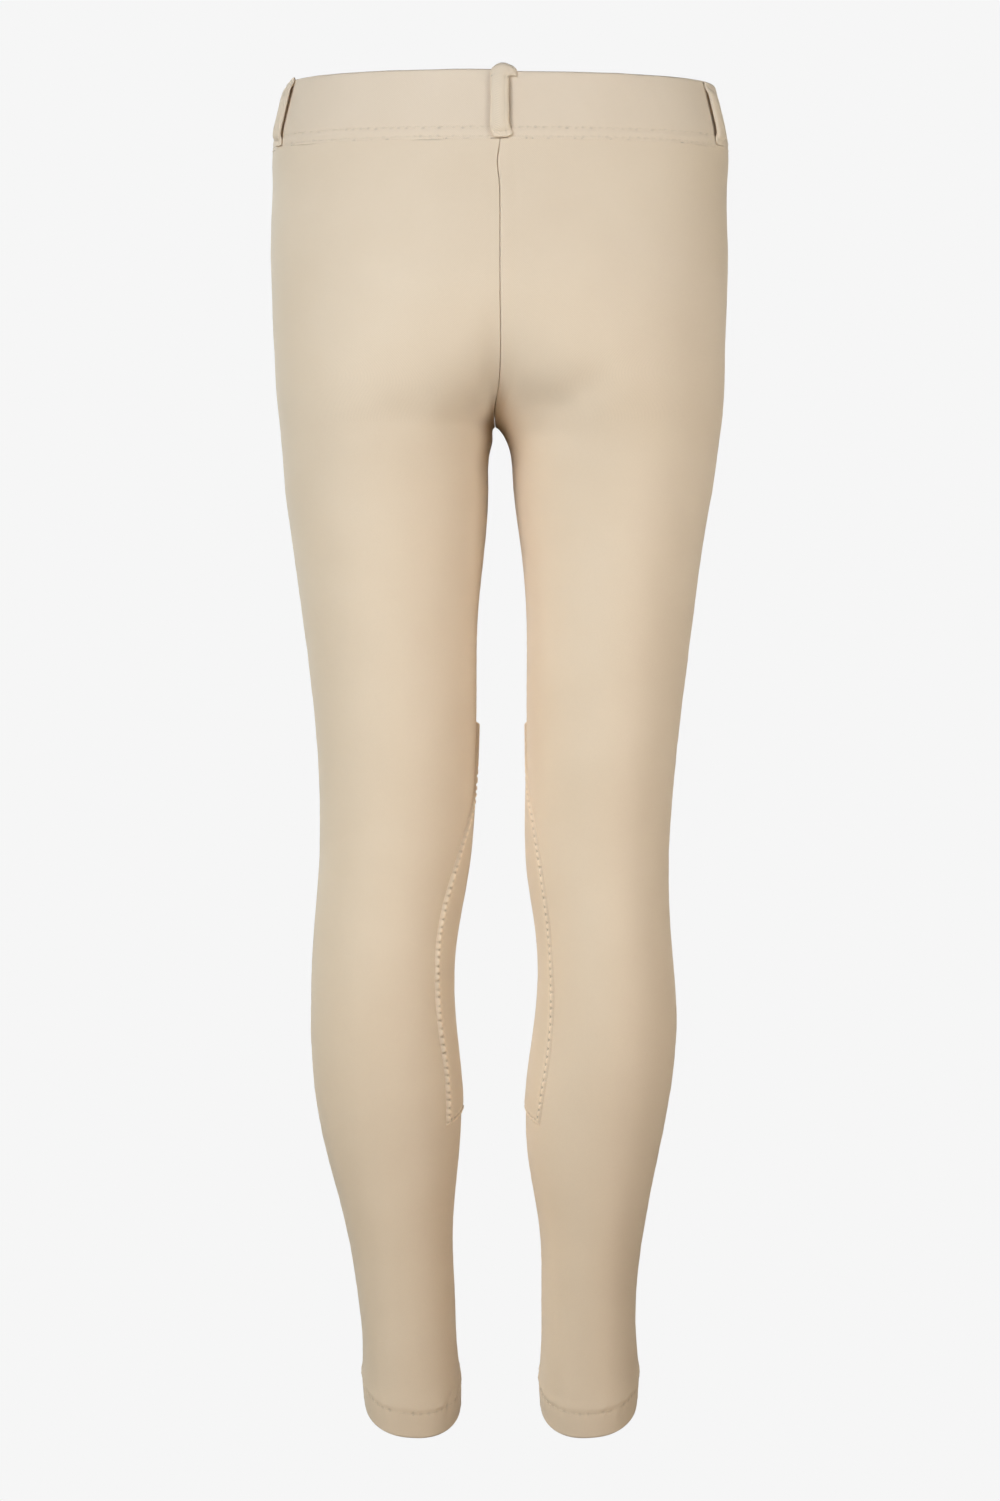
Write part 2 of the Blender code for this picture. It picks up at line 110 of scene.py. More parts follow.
# Soft folds along lines of places, each a height and an angle round the leg from the outer seam,
# positive over the back. The inner seam is at 180. A negative depth is a trough.
Fold = namedtuple("Fold", "side places width depth")
FOLDS = (
    # Seat: the fuller cheeks.
    Fold("left", ((-104, 122), (-108, 62)), 26, 1.5),
    Fold("right", ((-104, 122), (-108, 62)), 26, 1.3),
    # The fold under the wearer's right cheek and the swell below it; the left one is smoother.
    Fold("right", ((-176, 131), (-170, 108), (-159, 91), (-144, 72)), 9, -2.2),
    Fold("right", ((-181, 122), (-196, 122), (-214, 112)), 15, 1.3),
    Fold("left", ((-188, 136), (-178, 118), (-173, 94)), 12, 1.9),
    Fold("left", ((-196, 126), (-220, 118)), 18, 0.5),
    # Front of the crotch.
    Fold("left", ((-174, -128), (-162, -104), (-146, -82)), 12, -1.6),
    Fold("right", ((-174, -128), (-164, -106), (-150, -86)), 12, -1.5),
    Fold("left", ((-204, -130), (-188, -92)), 12, -1.1),
    Fold("right", ((-206, -130), (-192, -96)), 12, -1.0),
    # Above the hems: in front, and the inner seam's turn-up at the wearer's left heel.
    Fold("left", ((-712, -110), (-706, -52)), 10, -1.0),
    Fold("right", ((-715, -56), (-708, -118)), 10, -1.0),
    Fold("left", ((-737, 139), (-747, 127), (-760, 124)), 2.2, -0.9),
)
FOLD_FADE = 1.25


def natural_spline(rows, name):
    """A function of height that passes smoothly through a table's column."""
    z = np.array([row.z for row in rows][::-1], float)
    value = np.array([getattr(row, name) for row in rows][::-1], float)
    step = np.diff(z)
    slope = np.diff(value) / step
    matrix = np.eye(len(z))
    bend = np.zeros(len(z))
    for i in range(1, len(z) - 1):
        matrix[i, i - 1 : i + 2] = step[i - 1], 2 * (step[i - 1] + step[i]), step[i]
        bend[i] = 6 * (slope[i] - slope[i - 1])
    bend = np.linalg.solve(matrix, bend)

    def at(height):
        height = np.clip(height, z[0], z[-1])
        i = np.clip(np.searchsorted(z, height) - 1, 0, len(step) - 1)
        below, above = height - z[i], z[i + 1] - height
        return (
            (bend[i] * above**3 + bend[i + 1] * below**3) / (6 * step[i])
            + (value[i] / step[i] - bend[i] * step[i] / 6) * above
            + (value[i + 1] / step[i] - bend[i + 1] * step[i] / 6) * below
        )

    return at


SECTION = {name: natural_spline(SECTIONS, name) for name in Section._fields[1:]}


def smooth_step(t):
    t = np.clip(t, 0, 1)
    return t * t * (3 - 2 * t)


def bell(x, width):
    """1 at zero, falling to nothing on both sides over about twice the width."""
    return np.exp(-((x / width) ** 2))


def unit(vectors):
    return vectors / np.linalg.norm(vectors, axis=-1, keepdims=True)


def seam_x(z):
    """The centre seam, half way between the two legs' inner edges."""
    return (SECTION["left_inner"](z) - SECTION["right_inner"](z)) / 2


def section_of(side, z):
    """Middle and half sizes of one leg's section: x measured towards its own side, and y."""
    outer, inner = SECTION[side + "_outer"](z), SECTION[side + "_inner"](z)
    back, front = SECTION["back"](z), SECTION["front"](z)
    return (outer + inner) / 2, (outer - inner) / 2, (back - front) / 2, (back + front) / 2


def squareness(z):
    """Exponent of the superellipse sections."""
    torso = smooth_step((z - TORSO_SQUARE_FROM) / -TORSO_SQUARE_FROM)
    hem = smooth_step((HEM_SQUARE_FROM - z) / (HEM_SQUARE_FROM - HEM_Z))
    return LEG_SQUARE + (TORSO_SQUARE - LEG_SQUARE) * torso + (HEM_SQUARE - LEG_SQUARE) * hem


class Level:
    """What the sections give at a set of heights, worked out once for many points there."""

    def __init__(self, z):
        self.z = z
        self.legs = {side: section_of(side, z) for side in SIDES}
        self.power = squareness(z)
        middle_x, half_x, middle_y, half_y = self.legs["left"]
        self.apart = np.clip(middle_x / half_x, 0, 1)
        self.middle_y, self.half_y = middle_y, half_y

    def leg_distance(self, side, x, y):
        middle_x, half_x, middle_y, half_y = self.legs[side]
        across = np.abs(SIDES[side] * x - middle_x) / half_x
        deep = np.abs(y - middle_y) / half_y
        ratio = (across**self.power + deep**self.power) ** (1 / self.power)
        return (ratio - 1) * (half_x + half_y) / 2

    def distance(self, x, y):
        """About how far a point is outside the two legs together, rounded where they meet."""
        left, right = (self.leg_distance(side, x, y) for side in SIDES)
        in_front = smooth_step(0.5 - (y - self.middle_y) / self.half_y)
        bridge = BRIDGE_BACK + (BRIDGE_FRONT - BRIDGE_BACK) * in_front
        blend = (CROTCH_BLEND + bridge * (1 - self.apart)) * self.apart**2 + 1e-6
        near = np.clip(1 - np.abs(left - right) / blend, 0, 1)
        return np.minimum(left, right) - near**2 * blend / 4


def body_normal(x, y, z):
    step = 0.05
    here, above, below = Level(z), Level(z + step), Level(z - step)
    normal = np.stack(
        [
            here.distance(x + step, y) - here.distance(x - step, y),
            here.distance(x, y + step) - here.distance(x, y - step),
            above.distance(x, y) - below.distance(x, y),
        ],
        axis=-1,
    )
    return unit(normal)


def halve(distance, low, high):
    """Where distance changes from negative at low to positive at high."""
    for _ in range(HALVINGS):
        middle = (low + high) / 2
        inside = distance(middle) < 0
        low, high = np.where(inside, middle, low), np.where(inside, high, middle)
    return (low + high) / 2


def seam_angle(side, z, towards_back):
    """Angle at the leg's middle of the panel's inner edge: the centre seam, or the inner seam."""
    sign = SIDES[side]
    level = Level(z)
    middle_x, half_x, middle_y, _ = level.legs[side]
    edge_x = seam_x(z) + sign * SEAM_GAP / 2
    way = 1.0 if towards_back else -1.0
    joined = level.distance(edge_x, middle_y) < 0
    far = np.full_like(z, RAY_LENGTH)
    reach = halve(lambda r: level.distance(edge_x, middle_y + way * r), np.zeros_like(z), far)
    reach = np.maximum(reach, SEAM_GAP / 2)
    at_centre = np.arctan2(reach, sign * edge_x - middle_x)
    return np.where(joined, at_centre, np.pi - SEAM_GAP / 2 / half_x)


def surface(side, z, angle):
    """Point and outward normal of the plain form at a height and an angle in radians."""
    sign = SIDES[side]
    level = Level(z)
    middle_x, _, middle_y, _ = level.legs[side]
    across, back = np.cos(angle), np.sin(angle)
    to_seam = (middle_x - sign * seam_x(z)) / np.maximum(-across, 1e-6)
    limit = np.where(across < 0, np.minimum(RAY_LENGTH, to_seam), RAY_LENGTH)

    def at(reach):
        return sign * (middle_x + reach * across), middle_y + reach * back

    x, y = at(halve(lambda reach: level.distance(*at(reach)), np.zeros_like(z), limit))
    return np.stack([x, y, z], axis=-1), body_normal(x, y, z)


def fold_height(side, z, angle):
    """How far the soft folds move the cloth out, or in where it is negative."""
    height = np.zeros_like(z)
    for fold in FOLDS:
        if fold.side != side:
            continue
        _, half_x, _, half_y = section_of(side, np.full_like(z, fold.places[0][0]))
        per_degree = np.radians(1) * (half_x + half_y) / 2
        line = [np.stack([up + 0 * z, turn * per_degree]) for up, turn in fold.places]
        here = np.stack([z, np.degrees(angle) * per_degree])
        runs = [np.hypot(*(b - a)) for a, b in zip(line, line[1:])]
        nearest, along, before = np.full_like(z, np.inf), np.zeros_like(z), 0.0
        for a, b, run in zip(line, line[1:], runs):
            share = np.clip(np.sum((here - a) * (b - a), axis=0) / run**2, 0, 1)
            off = np.hypot(*(here - a - share * (b - a)))
            along = np.where(off < nearest, before + share * run, along)
            nearest = np.minimum(nearest, off)
            before = before + run
        fade = smooth_step(FOLD_FADE * (1 - np.abs(2 * along / before - 1)))
        height += fold.depth * bell(nearest, fold.width) * fade
    return height


def crotch_height():
    """Where the four panels meet: the lowest point of the centre seam."""

    def distance(z):
        return Level(z).distance(seam_x(z), section_of("left", z)[2])

    return float(halve(distance, np.array(CROTCH_HIGHEST), np.array(CROTCH_LOWEST)))


CROTCH_Z = crotch_height()


def hem_tilt(side, z, angle):
    """How much lower a row runs at an angle round the leg than at its side seams."""
    share = smooth_step((HEM_TILT_FROM - z) / (HEM_TILT_FROM - HEM_Z))
    y = surface(side, z, angle)[0][..., 1]
    at_back, at_front = HEM_DROP_BACK / SECTION["back"](z), HEM_RISE_FRONT / SECTION["front"](z)
    lower = y * np.where(y > 0, at_back, at_front) + HEM_DROP_INNER * (1 - np.cos(angle)) / 2
    return -share * lower


# ------------------------------
# Grids of points on the cloth's right side, and the meshes made from them.

# The sines of an uneven line: their lengths, how much shorter and lower the second set is, how far
# the seed, the set and the sine each shift them, and what their sum is divided by.
WANDER_LENGTHS = (1.0, 1.618, 0.73)
WANDER_SHORTER, WANDER_LOWER = 1.9, 1.7
WANDER_SHIFTS = (2.399, 1.7, 4.1)
WANDER_SUM = 4.2


def wander(at, seed, length):
    """A smooth uneven line between about -1 and 1, the same each time: two sets of sines."""
    total = np.zeros_like(at, dtype=float)
    by_seed, by_set, by_sine = WANDER_SHIFTS
    for i in range(2):
        for k, stretch in enumerate(WANDER_LENGTHS):
            phase = seed * by_seed + i * by_set + k * by_sine
            turn = 2 * np.pi * at / (length * stretch) * WANDER_SHORTER**i + phase
            total += np.sin(turn) / WANDER_LOWER**i
    return total / WANDER_SUM


# Low relief: waves along a line, which fade with the distance from it, and broad slanting swells.
Waves = namedtuple("Waves", "height length width")
Swells = namedtuple("Swells", "height slant length")


def waves(kind, at, seed, off):
    return kind.height * wander(at, seed, kind.length) * bell(off, kind.width)


def swells(kind, at, seed, beside):
    return kind.height * wander(at + kind.slant * beside, seed, kind.length)


def grid_normals(points, outward):
    """Unit normals of a grid of points, on the side that outward points to."""
    down, across = np.gradient(points, axis=0), np.gradient(points, axis=1)
    normal = np.cross(across, down)
    normal /= np.linalg.norm(normal, axis=-1, keepdims=True) + 1e-12
    return normal * np.sign(np.sum(normal * outward))


def arc_along(points, axis):
    """Length along a grid's rows or columns, from its start."""
    steps = np.linalg.norm(np.diff(points, axis=axis), axis=-1)
    pad = [(1, 0) if i == axis else (0, 0) for i in range(steps.ndim)]
    return np.cumsum(np.pad(steps, pad), axis=axis)


def point_numbers(rows, columns, endless=False):
    index = np.arange(rows * columns).reshape(rows, columns)
    return np.hstack([index, index[:, :1]]) if endless else index


def grid_faces(index):
    """The four corners of every cell in a grid of point numbers."""
    corners = [index[..., :-1, :-1], index[..., :-1, 1:], index[..., 1:, 1:], index[..., 1:, :-1]]
    return np.stack(corners, axis=-1).reshape(-1, 4)


def cloth_mesh(name, points, normal, slot, uv, endless=False):
    """A sheet of cloth: a grid of points of its right side, made thick towards its wrong side."""
    rows, columns = points.shape[:2]
    faces = grid_faces(point_numbers(rows, columns, endless))
    middle = rows // 2, columns // 2
    across = points[middle[0], middle[1] + 1] - points[middle]
    down = points[middle[0] + 1, middle[1]] - points[middle]
    if np.dot(np.cross(across, down), normal[middle]) < 0:
        faces = faces[:, ::-1]
    return make_mesh(name, points, faces, slot, uv, thickness=CLOTH)


def make_mesh(name, points, faces, slot, uv=None, thickness=None, finish=None):
    """A piece in the slot's material, unless finish names another."""
    mesh = bpy.data.meshes.new(name)
    mesh.from_pydata((points.reshape(-1, 3) * MM).tolist(), [], faces.tolist())
    if uv is not None:
        layer = mesh.uv_layers.new(name="UVMap")
        corners = np.zeros(len(mesh.loops), int)
        mesh.loops.foreach_get("vertex_index", corners)
        places = uv.reshape(-1, 2)[corners] * MM
        layer.data.foreach_set("uv", places.astype(np.float32).ravel())
    mesh.materials.append(MATERIALS[finish or slot])
    mesh.shade_smooth()
    mesh.update()
    piece = bpy.data.objects.new(name, mesh)
    bpy.context.scene.collection.objects.link(piece)
    if thickness:
        solid = piece.modifiers.new("cloth", "SOLIDIFY")
        solid.thickness = thickness * MM
        solid.offset = -1.0
        solid.use_rim = True
    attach(piece, "root")
    return piece


# Distances from a seam at which the cloth's columns lie, close together where its edge is rolled.
ROLL_TURN = np.radians([0, 22, 45, 68, 90])
BESIDE_SEAM = np.concatenate([SEAM_ROLL * (1 - np.cos(ROLL_TURN)), [1.5, 2.6, 4.2, 6.2]])
SHORT_ROW = 30.0  # a row shorter than this draws the columns beside its edges together


def lay_columns(side, place, rows, samples, beside, step):
    """Columns across a piece: close together beside both edges, and evenly spaced between.

    Returns their distances from the first edge, and the shares of the way that place turns into
    heights and angles.
    """
    share = np.broadcast_to(np.linspace(0, 1, samples), (rows, samples))
    arc = arc_along(surface(side, *place(share))[0], 1)
    length = arc[:, -1:]
    near = beside * np.minimum(1, length / SHORT_ROW)
    count = int(np.ceil((length.max() - 2 * beside[-1]) / step))
    middle = np.linspace(0, 1, count + 1)[1:-1]
    first, last = near[:, -1:], length - near[:, -1:]
    places = np.hstack([near, first + (last - first) * middle, length - near[:, ::-1]])
    return places, np.stack([np.interp(p, a, s) for p, a, s in zip(places, arc, share)])


def seam_sway(z):
    """How far the centre back seam strays from the middle, towards the wearer's left."""
    return sum(size * bell(z - at, length) for at, length, size in SEAM_SWAY)


def seam_roll(beside):
    """How far the rolled edge falls away at a distance from the seam."""
    t = np.clip(1 - beside / SEAM_ROLL, 0, 1)
    return -SEAM_ROLL * (1 - np.sqrt(1 - t * t))


# ------------------------------
# Leg panels.

FOLD_RADIUS = CLOTH + 0.25  # of the turned-up hem
HEM_STITCH = 13.3  # height of the hem's stitches above its edge
# The cloth flares over the turn-up and puffs up over its stitches: size, height above the hem, and
# length. It rolls in at the edge.
HEM_SWELLS = ((0.6, HEM_TURN_UP + 4, 14.0), (0.55, HEM_STITCH + 3, 2.6))
HEM_ROLL, HEM_ROLL_LENGTH = 0.9, 12.0
# The hollow between the cheeks along the centre back seam: its depth and width, the height at
# which it starts, and the lengths over which it deepens and ends.
CLEFT_DEPTH, CLEFT_WIDTH = 1.8, 8.0
CLEFT_FROM, CLEFT_DEEPENS, CLEFT_ENDS = -100.0, 50.0, 10.0
SUNK_IN_BAND = 0.6  # how deep the cloth beside a seam goes inside the band
# Where seam allowances lie under the cloth: the ridge's height and width, the widths of its two
# slopes, and the height against the crotch and the length over which it grows on the left leg.
RIDGE_HEIGHT, RIDGE_WIDTH, RIDGE_RISES, RIDGE_FALLS = 0.3, 6.0, 1.2, 2.5
RIDGE_FROM, RIDGE_GROWS = 6.0, 12.0
STITCH_PITCH = 4.6
# The band's sewing flattens the seams' upper ends, to this share above the first height.
SEAM_HIDDEN, SEAM_SHOWS, SEAM_LEAST = -21.0, -27.0, 0.2
SEAM_WAVES = Waves(0.10, 9.0, 5.0)
HEM_PUCKERS = Waves(0.3, 2.2 * STITCH_PITCH, 5.0)
PANEL_SWELLS, PANEL_SWELLS_CLEAR = Swells(0.16, 0.35, 42.0), 25.0  # and clear of the inner seam

# Rows at a panel's top, above the band's lower edge, and how far out the cloth lies in them.
TUCKED_ROWS = ((6, -0.95), (1, -0.95), (0.12, -0.7), (0.02, -0.3), (-0.02, 0), (-0.06, 0), (-0.4, 0))
PANEL_FROM = -1.6  # the first of the evenly spaced rows, above the band's lower edge
HEM_ROWS_FROM, HEM_ROWS = 8.0, 28  # closer rows, from this far above the turn-up
TURNED_ROWS = 8
HEM_FOLD_TURN = np.radians(np.arange(20, 181, 20))
PANEL_SAMPLES = 121  # places across each row where its length is measured
# Seeds by side, and by whether it is a back panel.
PANEL_SEEDS = {("left", True): 11, ("left", False): 4, ("right", True): 8, ("right", False): 1}

# Needle holes: the depth, the radius, and how far the thread draws the row in, by depth.
Holes = namedtuple("Holes", "depth radius drawn")
HEM_HOLES = Holes(0.9, 0.8, 0.05)
# Each hole has a depth and a place of its own, and the cloth puffs up beside it.
HOLE_DEPTH, HOLE_DEPTH_VARIES = 0.6, 0.5
HOLE_ALONG, HOLE_ACROSS = 0.12, 0.45
PUFF, PUFF_LENGTH, PUFF_WIDTH, PUFF_OFF = 0.5, 1.7, 1.2, 2.1
DRAWN_WIDTH = 1.3
MOST_STITCHES = 400  # in one row, for its random draws


def panel_rows():
    """Rows of a panel, top to bottom: height, height at the inner edge, and offset of the cloth.

    The first rows are tucked into the waistband, and the last ones are the turned-up hem. The
    last of the four results is 1 where the cloth faces out, and -1 where it faces in.
    """
    top = -BAND_HALF
    tucked, tucked_out = np.array(TUCKED_ROWS).T
    start, end = top + PANEL_FROM, HEM_Z + HEM_TURN_UP + HEM_ROWS_FROM
    torso = np.linspace(start, CROTCH_Z, int((start - CROTCH_Z) / ROW_STEP) + 1)
    leg = np.linspace(CROTCH_Z, end, int((CROTCH_Z - end) / ROW_STEP) + 1)[1:]
    hem = np.linspace(end, HEM_Z + FOLD_RADIUS, HEM_ROWS + 1)[1:]
    plain = np.concatenate([torso, leg, hem])
    fold_z = HEM_Z + FOLD_RADIUS * (1 - np.sin(HEM_FOLD_TURN))
    fold_out = -FOLD_RADIUS * (1 - np.cos(HEM_FOLD_TURN))
    turned = np.linspace(HEM_Z + FOLD_RADIUS, HEM_Z + HEM_TURN_UP, TURNED_ROWS + 1)[1:]
    z = np.concatenate([top + tucked, plain, fold_z, turned])
    offset = np.concatenate([tucked_out, 0 * plain, fold_out, -2 * FOLD_RADIUS + 0 * turned])
    outside = np.ones(len(tucked) + len(plain))
    facing = np.concatenate([outside, np.cos(HEM_FOLD_TURN), -1 + 0 * turned])
    away = z - CROTCH_Z
    return z, CROTCH_Z + away * np.clip(np.abs(away) / CROTCH_FAN, 0, 1), offset, facing


def hem_shape(above):
    """How far the cloth stands out near the hem: full above its stitches, falling in below."""
    roll = HEM_ROLL * (1 - smooth_step(above / HEM_ROLL_LENGTH))
    return sum(size * bell(above - at, length) for size, at, length in HEM_SWELLS) - roll


def by_stitch(along, seed):
    """The number of the nearest stitch, and three random numbers from -1 to 1 that go with it."""
    uneven = np.random.default_rng(seed).uniform(-1, 1, (3, MOST_STITCHES))
    k = np.rint(along / STITCH_PITCH).astype(int)
    return k, uneven[:, k]


def needle_row(along, beside, seed, holes):
    """A row of stitches: a hole at each, of its own depth and place, and puffs beside them."""
    k, (by_depth, by_along, by_across) = by_stitch(along, seed)
    hole = holes.depth * (HOLE_DEPTH + HOLE_DEPTH_VARIES * by_depth)
    run = along - (k + HOLE_ALONG * by_along) * STITCH_PITCH
    off = beside - HOLE_ACROSS * by_across
    dent = np.exp(-(run**2 + off**2) / holes.radius**2)
    puff = PUFF * bell(run, PUFF_LENGTH) * bell(off + PUFF_OFF, PUFF_WIDTH)
    return hole * (puff - dent) - holes.drawn * holes.depth * bell(beside, DRAWN_WIDTH)


def panel(side, towards_back):
    """One leg panel. Returns the piece, and its hem's stitch line as points, normals and places."""
    z_outer, z_inner, offset, facing = panel_rows()

    def place(share):
        z = z_outer[:, None] + (z_inner - z_outer)[:, None] * (1 - share) ** 2
        _, half_x, _, _ = section_of(side, z)
        inner = seam_angle(side, z, towards_back)
        angle = inner + (SEAM_GAP / 2 / half_x - inner) * share
        angle = angle if towards_back else -angle
        return z + hem_tilt(side, np.broadcast_to(z_outer[:, None], z.shape), angle), angle

    places, share = lay_columns(side, place, len(z_outer), PANEL_SAMPLES, BESIDE_SEAM, COLUMN_STEP)
    z, angle = place(share)
    point, outward = surface(side, z, angle)
    above = (z_outer - HEM_Z)[:, None] + 0 * z
    base = point + (offset[:, None] + hem_shape(np.maximum(above, 0)))[..., None] * outward
    if towards_back:
        base[..., 0] += seam_sway(z) * bell(point[..., 0] - seam_x(z), SEAM_SWAY_WIDTH)
    normal = grid_normals(base, outward)

    from_inner, from_outer = places, places[:, -1:] - places
    down = arc_along(base, 0)
    relief = fold_height(side, z, angle)
    seed = PANEL_SEEDS[side, towards_back]
    relief += waves(SEAM_WAVES, down, seed, from_inner)
    relief += waves(SEAM_WAVES, down, seed + 1, from_outer)
    if towards_back:
        under_leg = smooth_step((CROTCH_Z + RIDGE_FROM - z_outer) / RIDGE_GROWS)[:, None]
        inner_share = 1.0 if side == "right" else under_leg
        relief += RIDGE_HEIGHT * (ridge(from_outer) + ridge(from_inner) * inner_share)
        cleft = smooth_step((CLEFT_FROM - z) / CLEFT_DEEPENS)
        cleft *= CLEFT_DEPTH * smooth_step((z - CROTCH_Z) / CLEFT_ENDS)
        relief -= cleft * bell(from_inner, CLEFT_WIDTH)
    clear = smooth_step(from_inner / PANEL_SWELLS_CLEAR)
    relief += swells(PANEL_SWELLS, z, seed + 4, places) * clear
    stitched = needle_row(places, HEM_STITCH - above, seed, HEM_HOLES)
    stitched += waves(HEM_PUCKERS, places, seed + 5, above - HEM_STITCH)
    relief += np.where(facing[:, None] > 0, stitched, 0)
    relief *= facing[:, None]
    shows = smooth_step((z_outer - SEAM_HIDDEN) / (SEAM_SHOWS - SEAM_HIDDEN))
    shows = SEAM_LEAST + (1 - SEAM_LEAST) * shows
    relief += shows[:, None] * (seam_roll(from_inner) + seam_roll(from_outer))
    in_band = z_outer > -BAND_HALF
    relief[in_band] = 0

    right_side = base + relief[..., None] * normal
    away = unit(base[:, [0, -1]] - base[:, [1, -2]])
    closing = (SEAM_GAP - SEAM_LEFT_OPEN) / 2
    sunk = np.where(in_band, SUNK_IN_BAND, SEAM_SUNK)[:, None, None]
    flange = right_side[:, [0, -1]] - sunk * normal[:, [0, -1]] + closing * away
    full = np.concatenate([flange[:, :1], right_side, flange[:, 1:]], axis=1)
    beside = (0, 0), (1, 1), (0, 0)
    uv = np.pad(np.stack([places, -down], axis=-1), beside, "edge")
    face = "back" if towards_back else "front"
    name = f"{face}_panel_{side}"
    piece = cloth_mesh(name, full, np.pad(normal, beside, "edge"), "leg_cloth", uv)
    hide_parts(f"{face}_{side}")
    row = int(np.argmin(np.abs(above[:, 0] - HEM_STITCH) + 1e3 * (facing < 0)))
    return piece, right_side[row], normal[row], places[row]


def ridge(beside):
    """The soft ridge over seam allowances that are pressed to one side, from 0 to 1."""
    falls = smooth_step((beside - RIDGE_WIDTH) / RIDGE_FALLS)
    return smooth_step(beside / RIDGE_RISES) * (1 - falls)


# ------------------------------
# Waistband.

BAND_PROUD, BAND_INSIDE = 0.5, 2.5
BAND_PROUD_LOW, BAND_THINS = 0.05, 5.0  # where it is sewn to the panels, and over what height
BAND_TOP = 18.75
BAND_RISE_BACK = 0.95
BAND_STEP, BAND_STEP_LENGTH = 0.68, 0.06
BAND_STITCHES = (-13.3, -18.4)
BAND_HOLES = (Holes(0.42, 0.85, 0.25), Holes(0.24, 0.85, 0.25))
BAND_PUCKERS = Waves(0.16, 2.0 * STITCH_PITCH, 3.0)
BAND_TOP_WAVES = Waves(0.15, 45.0, 6.0)
BAND_SWELLS = Swells(0.12, 0.4, 30.0)
BAND_SEED = 31  # its rows of stitches, puckers and swells each have the next ten seeds
BAND_COLUMNS = 640
BAND_MEASURED = 10  # the row that lengths round the band are measured along
BAND_FOLD_TURN = np.radians(np.arange(15, 180, 15))
BAND_DOWN_ROWS = 9
# Rows of the band's outside above its lower edge, and how far the edge's rounding is let in there.
BAND_EDGE_ROWS = ((0, 0.45), (0.03, 0.12), (0.08, 0.02), (0.13, 0), (0.5, 0))
BAND_ROWS = np.concatenate([np.arange(0.9, 8.6, 0.55), np.linspace(9.2, 35, 16)])

# A loop's angle round the waist, the height of its top, and how much lower its far top corner is,
# on the side that faces away from the centre back.
Loop = namedtuple("Loop", "name turn top far_drop over_edge")
BELT_LOOPS = (
    Loop("belt_loop_back", 89.6, 23.7, 0, True),
    Loop("belt_loop_side_left", 13, 20.8, 4.5, False),
    Loop("belt_loop_side_right", 165, 17.4, 3.0, False),
    Loop("belt_loop_front_left", -47, 18.2, 2.5, False),
    Loop("belt_loop_front_right", 227, 17.4, 3.5, False),
)
# The line that the back loop's foot presses into the band: its height and depth, half its length,
# half its width, and the length over which it ends.
FOOT_LINE, FOOT_LINE_DEEP = -19.5, 0.7
FOOT_LINE_HALF, FOOT_LINE_WIDTH, FOOT_LINE_ENDS = 5.6, 0.4, 1.5


def waist_face(turn, height):
    """Point of the body's face at an angle round the waist, and the level direction away."""
    on_left = np.cos(turn) >= 0
    left = surface("left", height, np.where(on_left, turn, 0))
    right = surface("right", height, np.where(on_left, 0, np.pi - turn))
    point, normal = (np.where(on_left[..., None], a, b) for a, b in zip(left, right))
    return point, unit(normal * (1, 1, 0))


def band_top(turn):
    """Height of the waistband's folded edge: highest at the back, with a step at its seam."""
    step = np.tanh(np.cos(turn) / BAND_STEP_LENGTH)
    return BAND_TOP + BAND_RISE_BACK * np.sin(turn) + BAND_STEP * step


def band_proud(above):
    """How far the band's face stands out from the body, by the height above its lower edge."""
    return BAND_PROUD - (BAND_PROUD - BAND_PROUD_LOW) * (1 - smooth_step(above / BAND_THINS))


